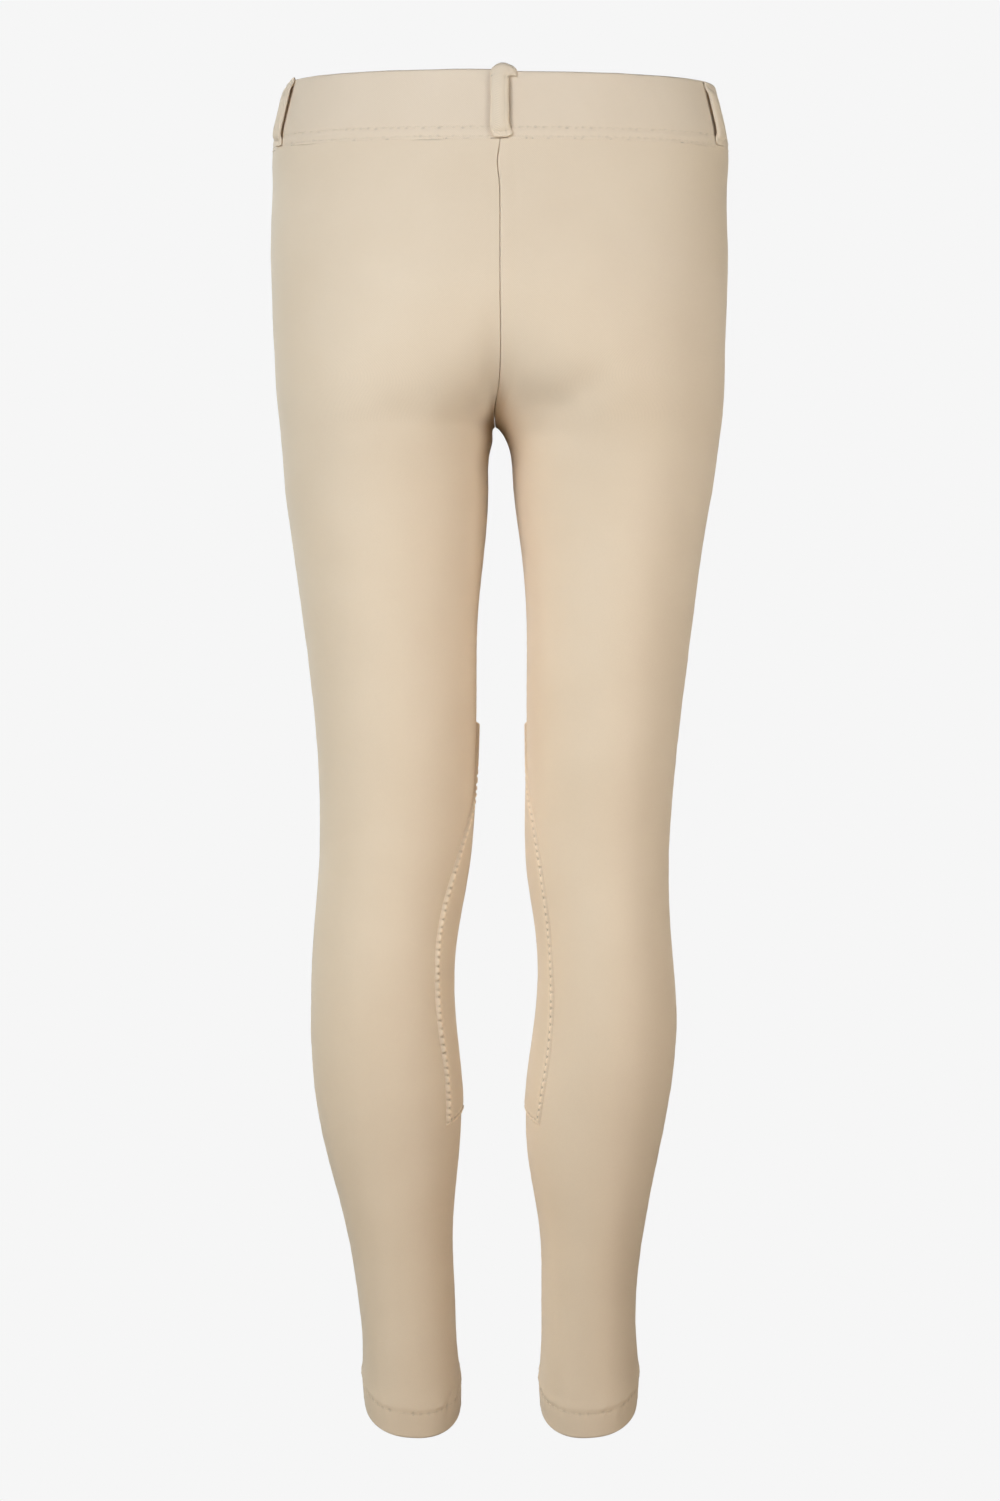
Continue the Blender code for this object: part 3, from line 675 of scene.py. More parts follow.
def waistband():
    """A strip folded over elastic: up the outside, over the top edge and down the inside."""
    half = (BAND_PROUD + BAND_INSIDE) / 2
    middle = (BAND_PROUD - BAND_INSIDE) / 2
    turn = np.radians(np.linspace(-90, 270, BAND_COLUMNS, endpoint=False))
    shoulder = band_top(turn) - half
    edge_rise, let_in = np.array(BAND_EDGE_ROWS).T
    rise = np.concatenate([edge_rise, BAND_ROWS])
    share = np.append(rise / (shoulder.mean() + BAND_HALF), 1.0)
    up_out = band_proud(np.append(rise, 2 * BAND_THINS)) - middle
    up_out[: len(let_in)] -= let_in
    out = np.concatenate([up_out, half * np.cos(BAND_FOLD_TURN), np.full(BAND_DOWN_ROWS, -half)])
    up = -BAND_HALF + (shoulder + BAND_HALF) * share[:, None]
    over = shoulder + half * np.sin(BAND_FOLD_TURN)[:, None]
    down = -BAND_HALF + (shoulder + BAND_HALF) * np.linspace(1, 0, BAND_DOWN_ROWS)[:, None]
    height = np.concatenate([up, over, down])
    point, level = waist_face(np.broadcast_to(turn, height.shape), height)
    base = point + (middle + out)[:, None, None] * level
    face = slice(len(share))
    normal = grid_normals(base, level)
    normal *= np.sign(np.sum(normal[face] * level[face]))
    around = arc_along(base[[BAND_MEASURED]], 1) + 0 * height

    relief = np.zeros_like(height)
    for k, (row, holes) in enumerate(zip(BAND_STITCHES, BAND_HOLES)):
        relief += needle_row(around, height - row, BAND_SEED + k, holes)
        relief += waves(BAND_PUCKERS, around, BAND_SEED + 10 + k, height - row)
    relief += swells(BAND_SWELLS, around, BAND_SEED + 20, height)
    middle_back = np.interp(np.radians(BELT_LOOPS[0].turn), turn, around[0])
    under_foot = smooth_step((FOOT_LINE_HALF - np.abs(around - middle_back)) / FOOT_LINE_ENDS)
    relief -= FOOT_LINE_DEEP * under_foot * bell(height - FOOT_LINE, FOOT_LINE_WIDTH)
    relief[len(share) :] = 0
    relief += waves(BAND_TOP_WAVES, around, BAND_SEED + 21, height - BAND_TOP)
    right_side = base + relief[..., None] * normal

    uv = np.stack([around, arc_along(base, 0)], axis=-1)
    piece = cloth_mesh("waistband_folded", right_side, normal, "waistband_cloth", uv, endless=True)
    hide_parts("waistband")
    rows = [int(np.argmin(np.abs(height[face, 0] - row))) for row in BAND_STITCHES]
    closed = [*range(len(turn)), 0]
    return piece, [(right_side[r][closed], normal[r][closed]) for r in rows]


# ------------------------------
# Belt loops.

LOOP_WIDTH, LOOP_THICK, LOOP_GAP = 10.4, 2.4, 1.8
LOOP_FOOT, LOOP_TAIL = -19.2, 11.0
LOOP_SEWN, LOOP_SEWN_TOP = 3.4, 3.2  # lengths that are sewn down
LOOP_LEAVES = 3.8  # height over which a strip leaves the band
LOOP_SUNK = 0.3  # how far a sewn end is pressed into the band
LOOP_TUCKED = 0.9  # how far its long edges curl towards the band
BACK_LOOP_LEANS = 0.8  # how far the back loop's edge on the wearer's left lies nearer to it
LOOP_PATH_STEPS = 84
CURVE_STEPS = 12  # between two points of a curve, before it is divided again
END_CROWDING = 0.85  # how much closer together the steps are at a curve's ends
LOOP_OUTER_STEPS, LOOP_INNER_STEPS = 36, 12  # across the strip's face and its back
LOOP_CURL = 2.5  # power with which its edges curl towards the band
LOOP_SWAY, LOOP_SWAY_LENGTH = 0.25, 38.0
LOOP_UNEVEN, LOOP_UNEVEN_LENGTH = 0.03, 23.0  # share of its width
LOOP_END_WIDTH = 0.9  # share of its width at its ends
# How the back loop turns over the edge: how far out against its straight part, and the height
# above the band's highest edge. Then the height of its bend on the inside, under the edge.
OVER_EDGE = ((0, -9.0), (-0.4, -3.0), (-1.6, 1.0))
INSIDE_BEND = -1.0
LOOP_END = 0.7  # length over which the strip's folded ends round off
LOOP_GROOVES = ((2.9, 0.26), (-2.9, 0.12))  # where its own stitches draw it in, and how deep
LOOP_GROOVE_WIDTH = 0.6
LOOP_TOP_SOFT = 12.0  # height below a loop's top over which its slant fades
HEAD_FLARE, HEAD_LENGTH = 5.0, 5.5  # the back loop widens where it goes over the edge
HEAD_LOWEST, HEAD_BLUNT = 15.3, 3.2  # its wide corner starts at this height, over this length
# How far its wide corner lies nearer to the band, from what height, and over what height it grows.
HEAD_TUCKED, HEAD_TUCKED_FROM, HEAD_TUCKED_GROWS = 0.8, 11.0, 5.0
# How the back loop's top falls away, and how a loop's foot rises, to both sides: size, where across
# the strip it starts, over what width, and its power.
HEAD_SLOPES = ((0.19, 1, -1, 1.55), (0.05, 2, 1, 1.95))
FOOT_SLOPES = ((6.0, -2.4, -2.8, 2), (2.0, 3.0, 4.5, 2))
FOOT_FLARE, FOOT_LENGTH = 2.0, 5.0
FOOT_FADES = 9.0  # the height over which the foot's slopes fade
OTHER_FOOT = 0.35  # their share on the loops at side and front
SLANT_POWER = 1.2  # how the slant of a loop's top grows towards its far corner


def loop_path(loop):
    """Middle line of a belt loop's strip: distance out from the band's face, and height."""
    half = LOOP_THICK / 2
    against = half - LOOP_SUNK
    out = LOOP_GAP + half
    sewn = LOOP_FOOT + LOOP_SEWN
    points = [(against, LOOP_FOOT), (against, sewn), (out, sewn + LOOP_LEAVES), (out, 0)]
    if loop.over_edge:
        inside = -BAND_PROUD - BAND_INSIDE - against
        edge = BAND_TOP + BAND_RISE_BACK + BAND_STEP
        points += [(out + further, edge + above) for further, above in OVER_EDGE]
        points += [(inside / 3, loop.top - half), (inside, edge + INSIDE_BEND), (inside, LOOP_TAIL)]
    else:
        sewn_top = loop.top - LOOP_SEWN_TOP
        points += [(out, sewn_top - LOOP_LEAVES), (against, sewn_top), (against, loop.top)]
    return curve_through(np.array(points), LOOP_PATH_STEPS)


def curve_through(points, steps):
    """A smooth curve through points, in steps that are shortest near its ends."""
    ends = np.vstack([2 * points[0] - points[1], points, 2 * points[-1] - points[-2]])
    fine = []
    for a, b, c, d in zip(ends, ends[1:], ends[2:], ends[3:]):
        for t in np.linspace(0, 1, CURVE_STEPS, endpoint=False):
            bend = (2 * a - 5 * b + 4 * c - d) * t**2 + (3 * b - a - 3 * c + d) * t**3
            fine.append((2 * b + (c - a) * t + bend) / 2)
    fine = np.array(fine + [points[-1]])
    length = arc_along(fine, 0)
    t = np.linspace(0, 1, steps)
    at = length[-1] * (t - END_CROWDING * np.sin(2 * np.pi * t) / (2 * np.pi))
    return sample(at, length, fine)


def sample(where, at, values):
    return np.stack([np.interp(where, at, column) for column in values.T], axis=1)


def loop_section():
    """A flat oval with folded edges: places across the strip, and heights from its middle."""
    outer = -np.cos(np.pi * np.linspace(0, 1, LOOP_OUTER_STEPS + 1))
    inner = np.cos(np.pi * np.linspace(0, 1, LOOP_INNER_STEPS + 1))[1:-1]
    both = np.concatenate([outer, inner])
    side = np.concatenate([np.ones(len(outer)), -np.ones(len(inner))])
    thick = side * np.sqrt(1 - both**4) * LOOP_THICK / 2
    across = both * LOOP_WIDTH / 2
    for at, depth in LOOP_GROOVES:
        thick -= np.where(side > 0, depth * bell(across - at, LOOP_GROOVE_WIDTH), 0)
    return across, thick


def slopes(across, sides):
    return sum(
        size * np.clip((across - start) / width, 0, None) ** power
        for size, start, width, power in sides
    )


def loop_slant(loop, across, height):
    """How much higher a strip's corners are: a rounded foot, and a top that slants away."""
    foot = slopes(across, FOOT_SLOPES) * np.clip(1 - (height - LOOP_FOOT) / FOOT_FADES, 0, 1)
    if loop.over_edge:
        return foot
    far = -np.sign(np.cos(np.radians(loop.turn)))
    corner = np.clip((far * across / (LOOP_WIDTH / 2) + 1) / 2, 0, 1)
    to_top = np.clip((height - loop.top + LOOP_TOP_SOFT) / LOOP_TOP_SOFT, 0, 1)
    return OTHER_FOOT * foot - loop.far_drop * corner**SLANT_POWER * to_top


def belt_loop(loop, seed):
    """A strip with rolled edges that follows loop_path out from the band's own face."""
    path = loop_path(loop)
    path_out, path_up = path[:, :1], path[:, 1:]
    along = unit(np.gradient(path, axis=0))
    run = arc_along(path, 0)[:, None]
    across, thick = loop_section()
    to_edge = across / (LOOP_WIDTH / 2)
    to_end = np.minimum(run, run[-1] - run)
    rounding = np.sqrt(np.clip(1 - (1 - np.clip(to_end / LOOP_END, 0, 1)) ** 2, 0.01, 1))
    thick = thick * rounding

    wide = 1 + LOOP_UNEVEN * wander(run, seed + 1, LOOP_UNEVEN_LENGTH)
    wide = wide * (LOOP_END_WIDTH + (1 - LOOP_END_WIDTH) * rounding)
    spread = across * wide + LOOP_SWAY * wander(run, seed, LOOP_SWAY_LENGTH)
    clear = np.clip((path_out - path_out[0]) / LOOP_GAP, 0, 1)
    inwards, lower = LOOP_TUCKED * clear * np.abs(to_edge) ** LOOP_CURL, 0
    if loop.over_edge:
        to_right = np.clip(to_edge, 0, 1)
        crest = run[np.argmax(path_up)]
        outside = run < crest
        in_front = smooth_step((path_up - HEAD_LOWEST) / HEAD_BLUNT)
        head = np.where(outside, in_front, bell(run - crest, HEAD_LENGTH))
        foot = FOOT_FLARE * bell(path_up - LOOP_FOOT, FOOT_LENGTH) * outside
        spread = spread + to_right * (HEAD_FLARE * head + foot)
        tucked = outside * smooth_step((path_up - HEAD_TUCKED_FROM) / HEAD_TUCKED_GROWS)
        inwards = inwards + HEAD_TUCKED * tucked * to_right**2
        inwards = inwards + BACK_LOOP_LEANS * clear * np.clip(-to_edge, 0, 1)
        lower = head * slopes(spread, HEAD_SLOPES)  # its crest lies a little to one side
    out = path_out + thick * along[:, 1:] - inwards
    height = path_up - thick * along[:, :1] - lower
    height = height + loop_slant(loop, spread, height)

    here, there = waist_face(np.radians((loop.turn, loop.turn + 1)), np.zeros(2))[0]
    turn = np.radians(loop.turn + spread / np.linalg.norm(there - here))
    middle = np.broadcast_to(np.clip(path_up, LOOP_FOOT, BAND_HALF), turn.shape)
    point, level = waist_face(turn, middle)
    face = band_proud(np.clip(path_up + BAND_HALF, 0, None))
    points = point * (1, 1, 0) + (face + out)[..., None] * level
    points[..., 2] = height
    ends = points[[0, -1]].mean(1, keepdims=True) + 0 * points[[0, -1]]
    rings = np.concatenate([ends[:1], points, ends[1:]])
    faces = grid_faces(point_numbers(*rings.shape[:2], endless=True))
    uv = np.stack([arc_along(rings, 1), arc_along(rings, 0)], axis=-1)
    return closed_body(loop.name + "_strip", rings, faces, "belt_loop_cloth", uv, loop.name)


def closed_body(name, points, faces, slot, uv, node):
    """A piece with points under 0.01 mm apart joined and all its faces turned outwards."""
    piece = make_mesh(name, points, faces, slot, uv)
    work = bmesh.new()
    work.from_mesh(piece.data)
    bmesh.ops.remove_doubles(work, verts=work.verts, dist=0.00001)
    bmesh.ops.dissolve_degenerate(work, edges=work.edges, dist=0.000001)
    bmesh.ops.recalc_face_normals(work, faces=work.faces)
    work.to_mesh(piece.data)
    work.free()
    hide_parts(node)
    return piece


# ------------------------------
# Knee patches.

Patch = namedtuple("Patch", "z left_back right_back front")
KNEE_PATCH = [Patch(*row) for row in (
    (-350, 3, 3, 50),
    (-385, 5, 10, 60),
    (-400, 14, 25, 65),
    (-412, 27, 35, 67),
    (-425, 36, 41, 69),
    (-440, 43, 45, 71),
    (-460, 48, 46, 71),
    (-495, 48, 45, 65),
    (-525, 45, 47, 59),
    (-560, 41, 46, 50),
    (-600, 42, 37, 38),
)]
PATCH_REACH = {name: natural_spline(KNEE_PATCH, name) for name in Patch._fields[1:]}
PATCH_TOP, PATCH_BOTTOM = -352.0, -587.0
# Its bottom edge is higher in the middle: by how much, and the height and length over which the
# rows above rise to that.
PATCH_LIFT, PATCH_LIFT_FROM, PATCH_LIFT_LENGTH = 8.0, -502.0, 85.0
PATCH_CLEAR = 0.05  # between the patch and the panel
PATCH_EDGE = {"left": 2.4, "right": 1.6}  # height of the turned-under edge
# The share of that height along the bottom, and the distance and length over which it grows.
PATCH_LOW_EDGE, PATCH_LOW_FROM, PATCH_LOW_GROWS = 0.75, 6.0, 4.0
PATCH_ROUND, PATCH_LEVELS = 2.0, 1.2  # width of the edge's rounding, and of the slope inside it
PATCH_MIDDLE = {"left": 1.4, "right": 1.3}
PATCH_STITCH = 2.9  # how far inside the edge its stitches run
PATCH_GROOVE, PATCH_GROOVE_WIDTH = 0.3, 0.7
PATCH_HOLE, PATCH_HOLE_RADIUS = 1.5, 0.75
PATCH_HOLE_LEAST = 0.3  # share of the holes and the groove that is left where there are no beads
PATCH_DIP = 0.6  # share of the edge's height that it loses beside each stitch's end
BEAD_SLOPE = 0.27  # share of the pitch over which it rises again
# How uneven its beads and holes are: along the row, in depth, across it, and the holes' depth.
BEAD_ALONG, BEAD_VARIES, PATCH_HOLE_ACROSS, PATCH_HOLE_VARIES = 0.1, 0.4, 0.2, 0.3
PATCH_SWELLS, PATCH_SWELLS_CLEAR = Swells(0.12, 0.5, 33.0), 8.0  # and clear of its edge
PATCH_SHARE = 0.42  # of the pitch that shows as thread
PATCH_PLAIN, PATCH_FULL = -372.0, -402.0  # its beads grow from nothing over this height
PATCH_ROW_STEP, PATCH_COLUMN_STEP = 0.75, 2.46
PATCH_SAMPLES = 101
BESIDE_EDGE = np.array([0, 0.1, 0.3, 0.6, 1.0, 1.4, 1.8, 2.2, 2.55, 2.9, 3.25, 3.7, 4.4, 5.6])


def patch_profile(side, beside, along, beads, low_down, seed):
    """Height of the patch beside its edge, which puffs up between the stitches that hold it."""
    k, (by_along, by_depth, by_across) = by_stitch(along, seed)
    run = along - (k + BEAD_ALONG * by_along) * STITCH_PITCH
    bead = smooth_step(np.abs(run) / (BEAD_SLOPE * STITCH_PITCH))
    low = PATCH_DIP * beads * (1 + BEAD_VARIES * by_depth)
    full = PATCH_EDGE[side] * (1 - (1 - PATCH_LOW_EDGE) * low_down)
    edge = full * (1 - low * (1 - bead))
    round_off = np.sin(np.pi / 2 * np.clip(beside / PATCH_ROUND, 0, 1))
    inner = smooth_step((beside - PATCH_ROUND) / PATCH_LEVELS)
    height = edge + (PATCH_MIDDLE[side] - edge) * inner
    off = beside - PATCH_STITCH - PATCH_HOLE_ACROSS * by_across
    deep = PATCH_HOLE * PATCH_EDGE[side] / PATCH_EDGE["left"] * (1 + PATCH_HOLE_VARIES * by_depth)
    hole = deep * np.exp(-(off**2 + run**2) / PATCH_HOLE_RADIUS**2)
    groove = PATCH_GROOVE * bell(beside - PATCH_STITCH, PATCH_GROOVE_WIDTH)
    sewn = (PATCH_HOLE_LEAST + (1 - PATCH_HOLE_LEAST) * beads) * (hole + groove)
    return PATCH_CLEAR + (height - sewn) * round_off


def knee_patch(side, seed):
    """A patch over the inner seam, with a turned-under edge and a row of stitches inside it."""
    ends = BESIDE_EDGE[-1]
    count = int((PATCH_TOP - PATCH_BOTTOM - 2 * ends) / PATCH_ROW_STEP)
    between = np.linspace(PATCH_TOP - ends, PATCH_BOTTOM + ends, count + 1)[1:-1]
    row_z = np.concatenate([PATCH_TOP - BESIDE_EDGE, between, PATCH_BOTTOM + BESIDE_EDGE[::-1]])
    row_z = row_z[:, None]
    lift = PATCH_LIFT * np.clip((PATCH_LIFT_FROM - row_z) / PATCH_LIFT_LENGTH, 0, 1) ** 2

    def place(share):
        z = row_z + lift * np.exp(-2 * (2 * share - 1) ** 2)
        back, front = PATCH_REACH[side + "_back"](z), PATCH_REACH["front"](z)
        return z, np.radians(180 - back + share * (front + back))

    places, share = lay_columns(side, place, len(row_z), PATCH_SAMPLES, BESIDE_EDGE, PATCH_COLUMN_STEP)
    z, angle = place(share)
    point, outward = surface(side, z, angle)
    point = point + fold_height(side, z, angle)[..., None] * outward

    down = arc_along(point, 0)
    from_bottom = down[-1:] - down
    from_side = np.minimum(places, places[:, -1:] - places)
    from_end = np.minimum(down, from_bottom)
    beside = np.minimum(from_side, from_end)
    along = np.where(from_side < from_end, down, places)
    beads = smooth_step((PATCH_PLAIN - z) / (PATCH_PLAIN - PATCH_FULL))
    low_down = smooth_step((PATCH_LOW_FROM - from_bottom) / PATCH_LOW_GROWS)
    height = patch_profile(side, beside, along, beads, low_down, seed)
    clear = smooth_step(beside / PATCH_SWELLS_CLEAR)
    height += swells(PATCH_SWELLS, z, seed + 2, places) * clear
    top = point + height[..., None] * outward
    under = point + PATCH_CLEAR * 0.5 * outward
    normal = grid_normals(top, outward)

    node, uv = f"knee_patch_{side}", np.stack([places, -down], axis=-1)
    piece = closed_sheet(node + "_sewn", top, under, uv, "knee_patch_cloth", node)

    rows, columns = places.shape
    k = int(np.argmin(np.abs(BESIDE_EDGE - PATCH_STITCH)))
    inside, across = slice(k, rows - k), slice(k, columns - k)
    lines = [(inside, k, down), (inside, -1 - k, down), (k, across, places), (-1 - k, across, places)]
    return piece, [(top[r, c], normal[r, c], at[r, c]) for r, c, at in lines]


def closed_sheet(name, top, under, uv, slot, node):
    """A body between two grids of points with their borders joined."""
    index = point_numbers(*top.shape[:2])
    flat = grid_faces(index)
    rim = np.concatenate([index[0, :-1], index[:-1, -1], index[-1, :0:-1], index[:0:-1, 0]])
    after, below = np.roll(rim, -1), index.size
    walls = np.stack([rim, after, after + below, rim + below], axis=-1)
    faces = np.concatenate([flat, flat[:, ::-1] + below, walls])
    return closed_body(name, np.stack([top, under]), faces, slot, np.stack([uv, uv]), node)


# ------------------------------
# Stitches.

THREAD = 0.2  # radius
THREAD_SIDES, THREAD_STEPS = 6, 7
STITCH_SHARE = 0.74  # of the pitch that shows as thread
SHARE_VARIES, PLACE_VARIES = (0.88, 1.08), (-0.03, 0.03)
ROW_END = 0.3  # how much of the pitch stays free at a row's end
# A stitch's middle rises above the cloth and its ends sink in, both by the thread's radius, and the
# power of its arch.
STITCH_RISE, STITCH_SINK, STITCH_ARCH = 0.55, 2.2, 5


def stitches(name, lines, slot, seed, shows=STITCH_SHARE):
    """Rows of single stitches, each a short arched thread whose ends sink into the cloth."""
    random = np.random.default_rng(seed)
    paths, normals = [], []
    step = np.linspace(-1, 1, THREAD_STEPS)
    rise = THREAD * STITCH_RISE - (THREAD * STITCH_SINK) * np.abs(step[:, None]) ** STITCH_ARCH
    for point, normal, *places in lines:
        at = places[0] if places else arc_along(point, 0)
        order = np.argsort(at)
        first = np.ceil(at.min() / STITCH_PITCH) + 0.5
        for k in np.arange(first, at.max() / STITCH_PITCH - ROW_END):
            share = shows * random.uniform(*SHARE_VARIES)
            where = (k + share / 2 * step + random.uniform(*PLACE_VARIES)) * STITCH_PITCH
            upward = unit(sample(where, at[order], normal[order]))
            paths.append(sample(where, at[order], point[order]) + rise * upward)
            normals.append(upward)
    return threads(name, np.array(paths), np.array(normals), slot)


def threads(name, paths, normals, slot):
    """Many short round threads as one mesh, with closed ends."""
    along = unit(np.gradient(paths, axis=1))
    sideways = unit(np.cross(along, normals))
    upright = np.cross(sideways, along)
    turn = np.linspace(0, 2 * np.pi, THREAD_SIDES, endpoint=False)[:, None]
    ring = np.cos(turn) * sideways[:, :, None] + np.sin(turn) * upright[:, :, None]
    points = paths[:, :, None] + THREAD * ring
    index = np.arange(points[..., 0].size).reshape(points.shape[:3])
    faces = [grid_faces(np.concatenate([index, index[:, :, :1]], axis=2))]
    for end in (index[:, 0], index[:, -1, ::-1]):
        faces += [end[:, [0, 1, 2, 3]], end[:, [0, 3, 4, 5]]]
    return make_mesh(name, points, np.concatenate(faces), slot, finish="thread")


# ------------------------------
# Materials.

# Each cloth's lighter and darker colour, and how much lighter the painted highlight makes its small
# bulges.
CLOTHS = {
    "leg_cloth": ((0.755, 0.615, 0.460), (0.712, 0.570, 0.416), 1.0),
    "waistband_cloth": ((0.757, 0.621, 0.474), (0.714, 0.576, 0.430), 1.0),
    "belt_loop_cloth": ((0.765, 0.628, 0.472), (0.720, 0.582, 0.428), 1.0),
    "knee_patch_cloth": ((0.742, 0.602, 0.446), (0.697, 0.557, 0.404), 1.28),
}
TONE_FROM, TONE_TO = 0.42, 0.95  # of the unevenness, from the darker to the lighter colour
# Painted shade in small hollows, such as needle holes and seams: the range of pointiness, which is
# 0.5 where it is flat, and the shade at its start. The same for the painted highlight on small bulges.
PAINTED_HOLLOW_SHADE, PAINTED_BULGE_HIGHLIGHT = (0.42, 0.495, 0.42), (0.505, 0.56, 1.0)
THREAD_DARK, THREAD_LIGHT = (0.57, 0.46, 0.32), (0.76, 0.63, 0.48)
# Widths in mm of the twill's lines, of the weft's and of the thread's twist, and the width in
# metres that Blender gives to a wave at scale 1.
TWILL, WEFT, TWIST = 0.5, 0.35, 0.35
WAVE = 0.314


def new_material(name):
    made = bpy.data.materials.new(name)
    made.use_nodes = True
    return made, made.node_tree


def fill(tree, node, inputs):
    """Gives each input of a node its value, or links it to the output that is given."""
    for key, value in inputs.items():
        if isinstance(value, bpy.types.NodeSocket):
            tree.links.new(value, node.inputs[key])
        else:
            node.inputs[key].default_value = value


def add_node(tree, kind, inputs, **settings):
    node = tree.nodes.new("ShaderNode" + kind)
    for key, value in settings.items():
        setattr(node, key, value)
    fill(tree, node, inputs)
    return node


def bands(tree, place, width, direction, inputs):
    scale = WAVE / (width * MM)
    return add_node(
        tree, "TexWave", {"Vector": place, "Scale": scale, **inputs}, bands_direction=direction
    ).outputs["Fac"]


def ramp(tree, value, dark, light, start=0.0, end=1.0):
    tone = add_node(tree, "ValToRGB", {"Fac": value})
    for stop, at, colour in zip(tone.color_ramp.elements, (start, end), (dark, light)):
        stop.position, stop.color = at, (*colour, 1)
    return tone.outputs["Color"]


def weighted_sum(tree, value, weight, other):
    """value * weight + other"""
    inputs = {0: value, 1: weight, 2: other}
    return add_node(tree, "Math", inputs, operation="MULTIPLY_ADD").outputs[0]


def shaded(tree, colour, by, share):
    """A colour multiplied by a shade."""
    inputs = {"Factor": share, "A": colour, "B": by}
    return add_node(tree, "Mix", inputs, data_type="RGBA", blend_type="MULTIPLY").outputs["Result"]


def bump(tree, height, strength, deep, **inputs):
    inputs = {"Height": height, "Strength": strength, "Distance": deep * MM, **inputs}
    return add_node(tree, "Bump", inputs).outputs["Normal"]


def cloth_material(name, light, dark, bulge_highlight):
    """Matte stretch twill: fine diagonal lines, a little unevenness of colour, soft sheen."""
    made, tree = new_material(name)
    place = add_node(tree, "TexCoord", {}).outputs
    broad, fine = (
        add_node(tree, "TexNoise", {"Vector": place["Object"], "Scale": scale, "Detail": detail})
        for scale, detail in ((14.0, 2.0), (1500.0, 1.0))
    )
    uneven = weighted_sum(tree, fine.outputs["Fac"], 0.35, broad.outputs["Fac"])
    colour = ramp(tree, uneven, dark, light, TONE_FROM, TONE_TO)

    uneven_lines = {"Distortion": 0.6, "Detail": 1.0, "Detail Scale": 1.5}
    twill = bands(tree, place["UV"], TWILL, "DIAGONAL", uneven_lines)
    weft = bands(tree, place["UV"], WEFT, "Y", {"Distortion": 0.4})
    lines = weighted_sum(tree, weft, 0.4, twill)
    colour = shaded(tree, colour, lines, 0.10)
    # Painted shade in small hollows and a painted highlight on small bulges, from the mesh's
    # pointiness.
    form = add_node(tree, "NewGeometry", {})
    for values in ((*PAINTED_HOLLOW_SHADE, 1.0), (*PAINTED_BULGE_HIGHLIGHT, bulge_highlight)):
        inputs = dict(zip(("From Min", "From Max", "To Min", "To Max"), values))
        inputs["Value"] = form.outputs["Pointiness"]
        painted_light_by_form = add_node(tree, "MapRange", inputs)
        colour = shaded(tree, colour, painted_light_by_form.outputs["Result"], 1.0)

    woven = bump(tree, lines, strength=0.5, deep=0.05)
    rough = bump(tree, fine.outputs["Fac"], strength=0.35, deep=0.08, Normal=woven)
    fill(tree, tree.nodes["Principled BSDF"], {
        "Base Color": colour, "Roughness": 0.88, "Specular IOR Level": 0.25, "Normal": rough,
        "Sheen Weight": 0.22, "Sheen Roughness": 0.45, "Sheen Tint": (1.0, 0.97, 0.92, 1.0),
    })
    return made


def thread_material():
    """Polyester thread, a little lighter and smoother than the cloth, with a twist."""
    made, tree = new_material("thread")
    place = add_node(tree, "TexCoord", {}).outputs["Object"]
    twist = bands(tree, place, TWIST, "DIAGONAL", {})
    fill(tree, tree.nodes["Principled BSDF"], {
        "Base Color": ramp(tree, twist, THREAD_DARK, THREAD_LIGHT), "Roughness": 0.6,
        "Specular IOR Level": 0.35, "Normal": bump(tree, twist, strength=0.4, deep=0.05),
    })
    return made


MATERIALS = {name: cloth_material(name, *looks) for name, looks in CLOTHS.items()}
MATERIALS["thread"] = thread_material()


# ------------------------------
# Stage, light and camera.

BACKGROUND = (0.922, 0.922, 0.922)
STAGE_RADIUS = 9.0
FLOOR_RADIUS, FLOOR_Z = 8.1, -0.9

CAMERA_AT = Vector((0.0, 3.0, -0.2925))
CAMERA_TO = Vector((0.0, 0.0, -0.369))
FOCAL_PIXELS, FRAME_HEIGHT = 5123.7, 1501
SENSOR = 36.0


def stage():
    """A dome and a floor that give off the background's colour and light nothing else."""
    pale, tree = new_material("pale")
    tree.nodes.remove(tree.nodes["Principled BSDF"])
    glow = add_node(tree, "Emission", {"Color": (*BACKGROUND, 1)}).outputs["Emission"]
    fill(tree, tree.nodes["Material Output"], {"Surface": glow})
    bpy.ops.mesh.primitive_uv_sphere_add(segments=48, ring_count=24, radius=STAGE_RADIUS)
    dome = bpy.context.object
    dome.name = "backdrop"
    bpy.ops.mesh.primitive_circle_add(
        vertices=64, radius=FLOOR_RADIUS, fill_type="NGON", location=(0, 0, FLOOR_Z)
    )
    floor = bpy.context.object
    floor.name = "floor"
    for part in (dome, floor):
        part.data.materials.append(pale)
        part.visible_diffuse = False
        part.visible_glossy = False
        part.visible_shadow = False
        part.visible_transmission = False


# Soft studio lamps: azimuth from the back towards the wearer's left, power and colour, height and
# the height that they are aimed at, distance, size and spread.
Lamp = namedtuple(
    "Lamp", "name azimuth power colour height aim distance size spread",
    defaults=(-0.4, -0.4, 2.0, 0.9, 57.6),
)
LAMPS = (
    Lamp("key", 40, 1.32, (1.10, 1, 0.88)),
    Lamp("key_high", 40, 2.02, (0.81, 1, 1.20), 0.25, -0.3),
    Lamp("key_low", 40, 0.58, (1.35, 1, 0.66), -1.0, -0.75),
    Lamp("high", 20, 0.55, (0.92, 1, 1.1), 1.1, -0.1, 1.8),
    Lamp("left_high", 30, 0.40, (0.98, 1, 1.13), 0.5, 0.05, 1.1, 0.6),
    Lamp("left_side", 70, 0.74, (0.85, 1.01, 0.98)),
    Lamp("right_high", -50, 1.92, (0.84, 1, 1.12), -0.4, 0.05),
    Lamp("right_low", -50, 1.06, (1.24, 1, 0.78)),
    Lamp("right_edge", -80, 1.14, (1.10, 1, 0.83)),
    Lamp("front_left", 152, 41, (0.9, 1, 1.03), 0.4, -0.3, 2.6, 1.6, 180),
    Lamp("front", -172, 34, (1, 0.98, 0.95), 0.4, -0.3, 2.6, 1.6, 180),
)
WORLD_STRENGTH = 0.02


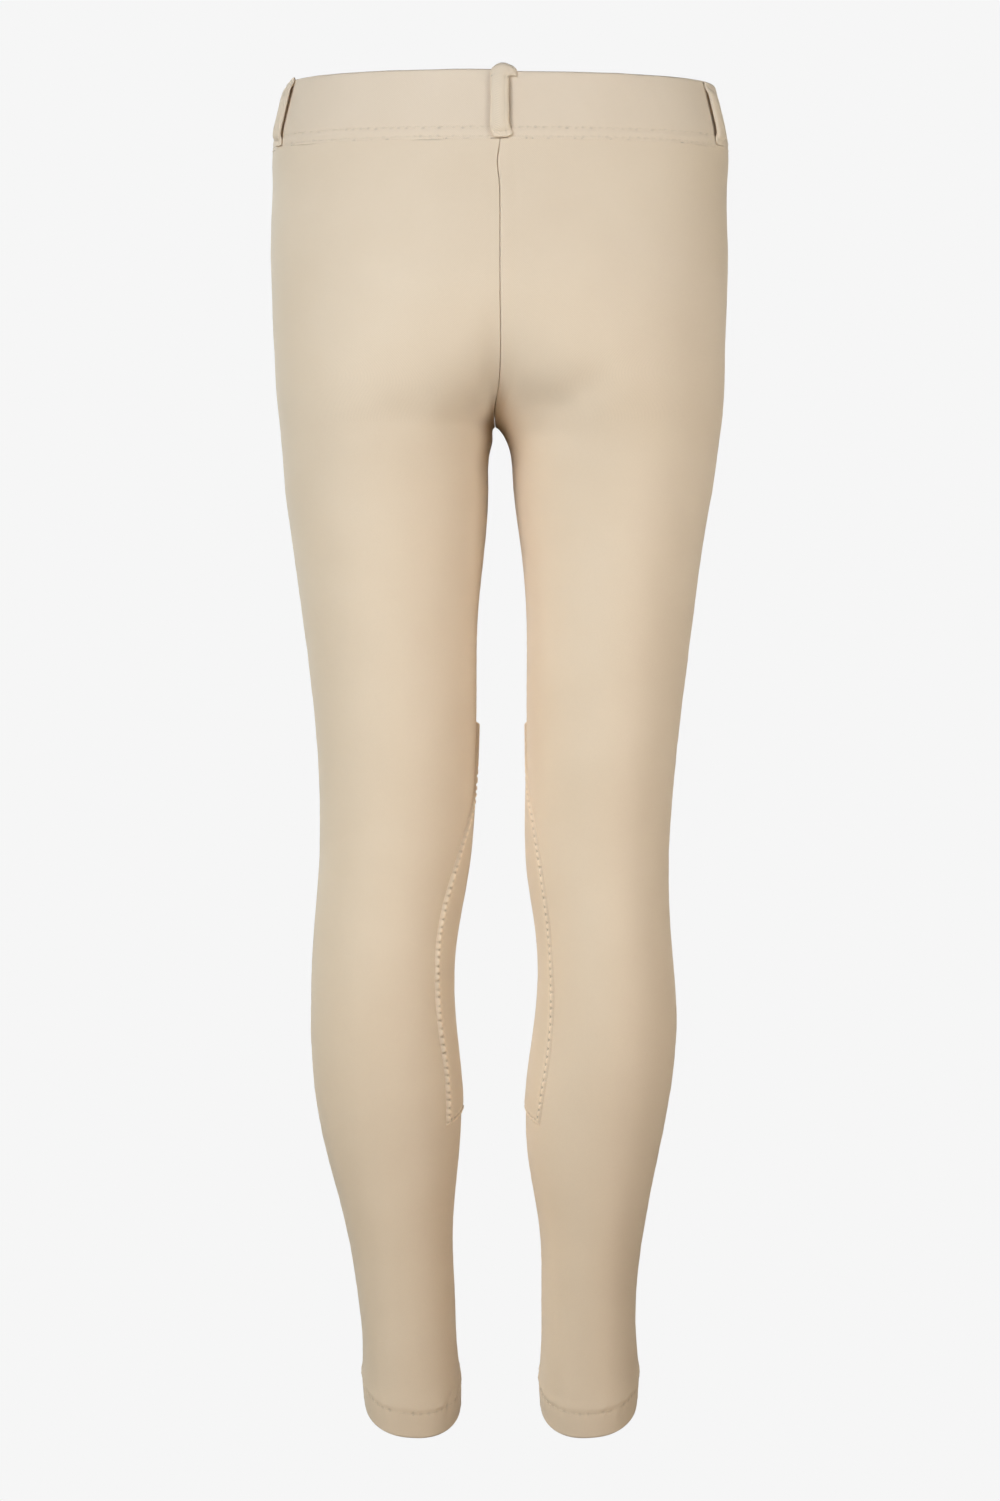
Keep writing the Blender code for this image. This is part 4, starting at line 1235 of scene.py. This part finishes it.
def add_facing(name, data, at, to):
    """Puts a lamp or a camera into the scene at one point, facing another."""
    thing = bpy.data.objects.new(name, data)
    bpy.context.scene.collection.objects.link(thing)
    thing.location = at
    thing.rotation_euler = (to - at).to_track_quat("-Z", "Y").to_euler()
    return thing


def area_light(lamp):
    made = bpy.data.lights.new(lamp.name, "AREA")
    made.shape = "SQUARE"
    made.size = lamp.size
    made.spread = np.radians(lamp.spread)
    made.energy = lamp.power
    made.color = lamp.colour
    azimuth = np.radians(lamp.azimuth)
    at = Vector((np.sin(azimuth) * lamp.distance, np.cos(azimuth) * lamp.distance, lamp.height))
    add_facing(lamp.name, made, at, Vector((0, 0, lamp.aim))).visible_camera = False


def lights():
    world = bpy.data.worlds.new("studio")
    bpy.context.scene.world = world
    world.use_nodes = True
    tree = world.node_tree
    fill(tree, tree.nodes["Background"], {"Color": (1, 1, 1, 1), "Strength": WORLD_STRENGTH})
    for lamp in LAMPS:
        area_light(lamp)


def camera():
    lens = bpy.data.cameras.new("camera")
    lens.sensor_fit = "VERTICAL"
    lens.sensor_height = SENSOR
    lens.lens = FOCAL_PIXELS / FRAME_HEIGHT * SENSOR
    lens.clip_end = 50
    bpy.context.scene.camera = add_facing("camera", lens, CAMERA_AT, CAMERA_TO)


# ------------------------------

# The first seed of each kind of sewn line, for its random draws.
PATCH_SEED, PATCH_THREAD_SEED, BAND_THREAD_SEED, HEM_THREAD_SEED, LOOP_SEED = 11, 21, 23, 24, 61


def build():
    hem_lines = []
    for k, side in enumerate(SIDES):
        for towards_back in (True, False):
            piece, *line = panel(side, towards_back)
            hem_lines.append(tuple(line))
        patch, lines = knee_patch(side, PATCH_SEED + k)
        name, seed = f"knee_patch_stitches_{side}", PATCH_THREAD_SEED + k
        stitches(name, lines, "knee_patch_cloth", seed, PATCH_SHARE)
    band, band_lines = waistband()
    stitches("waistband_stitches", band_lines, "waistband_cloth", BAND_THREAD_SEED)
    stitches("hem_stitches", hem_lines, "leg_cloth", HEM_THREAD_SEED)
    for k, loop in enumerate(BELT_LOOPS):
        strip = belt_loop(loop, LOOP_SEED + 3 * k)


build()
stage()
lights()
camera()
bpy.context.scene.view_settings.view_transform = "Standard"
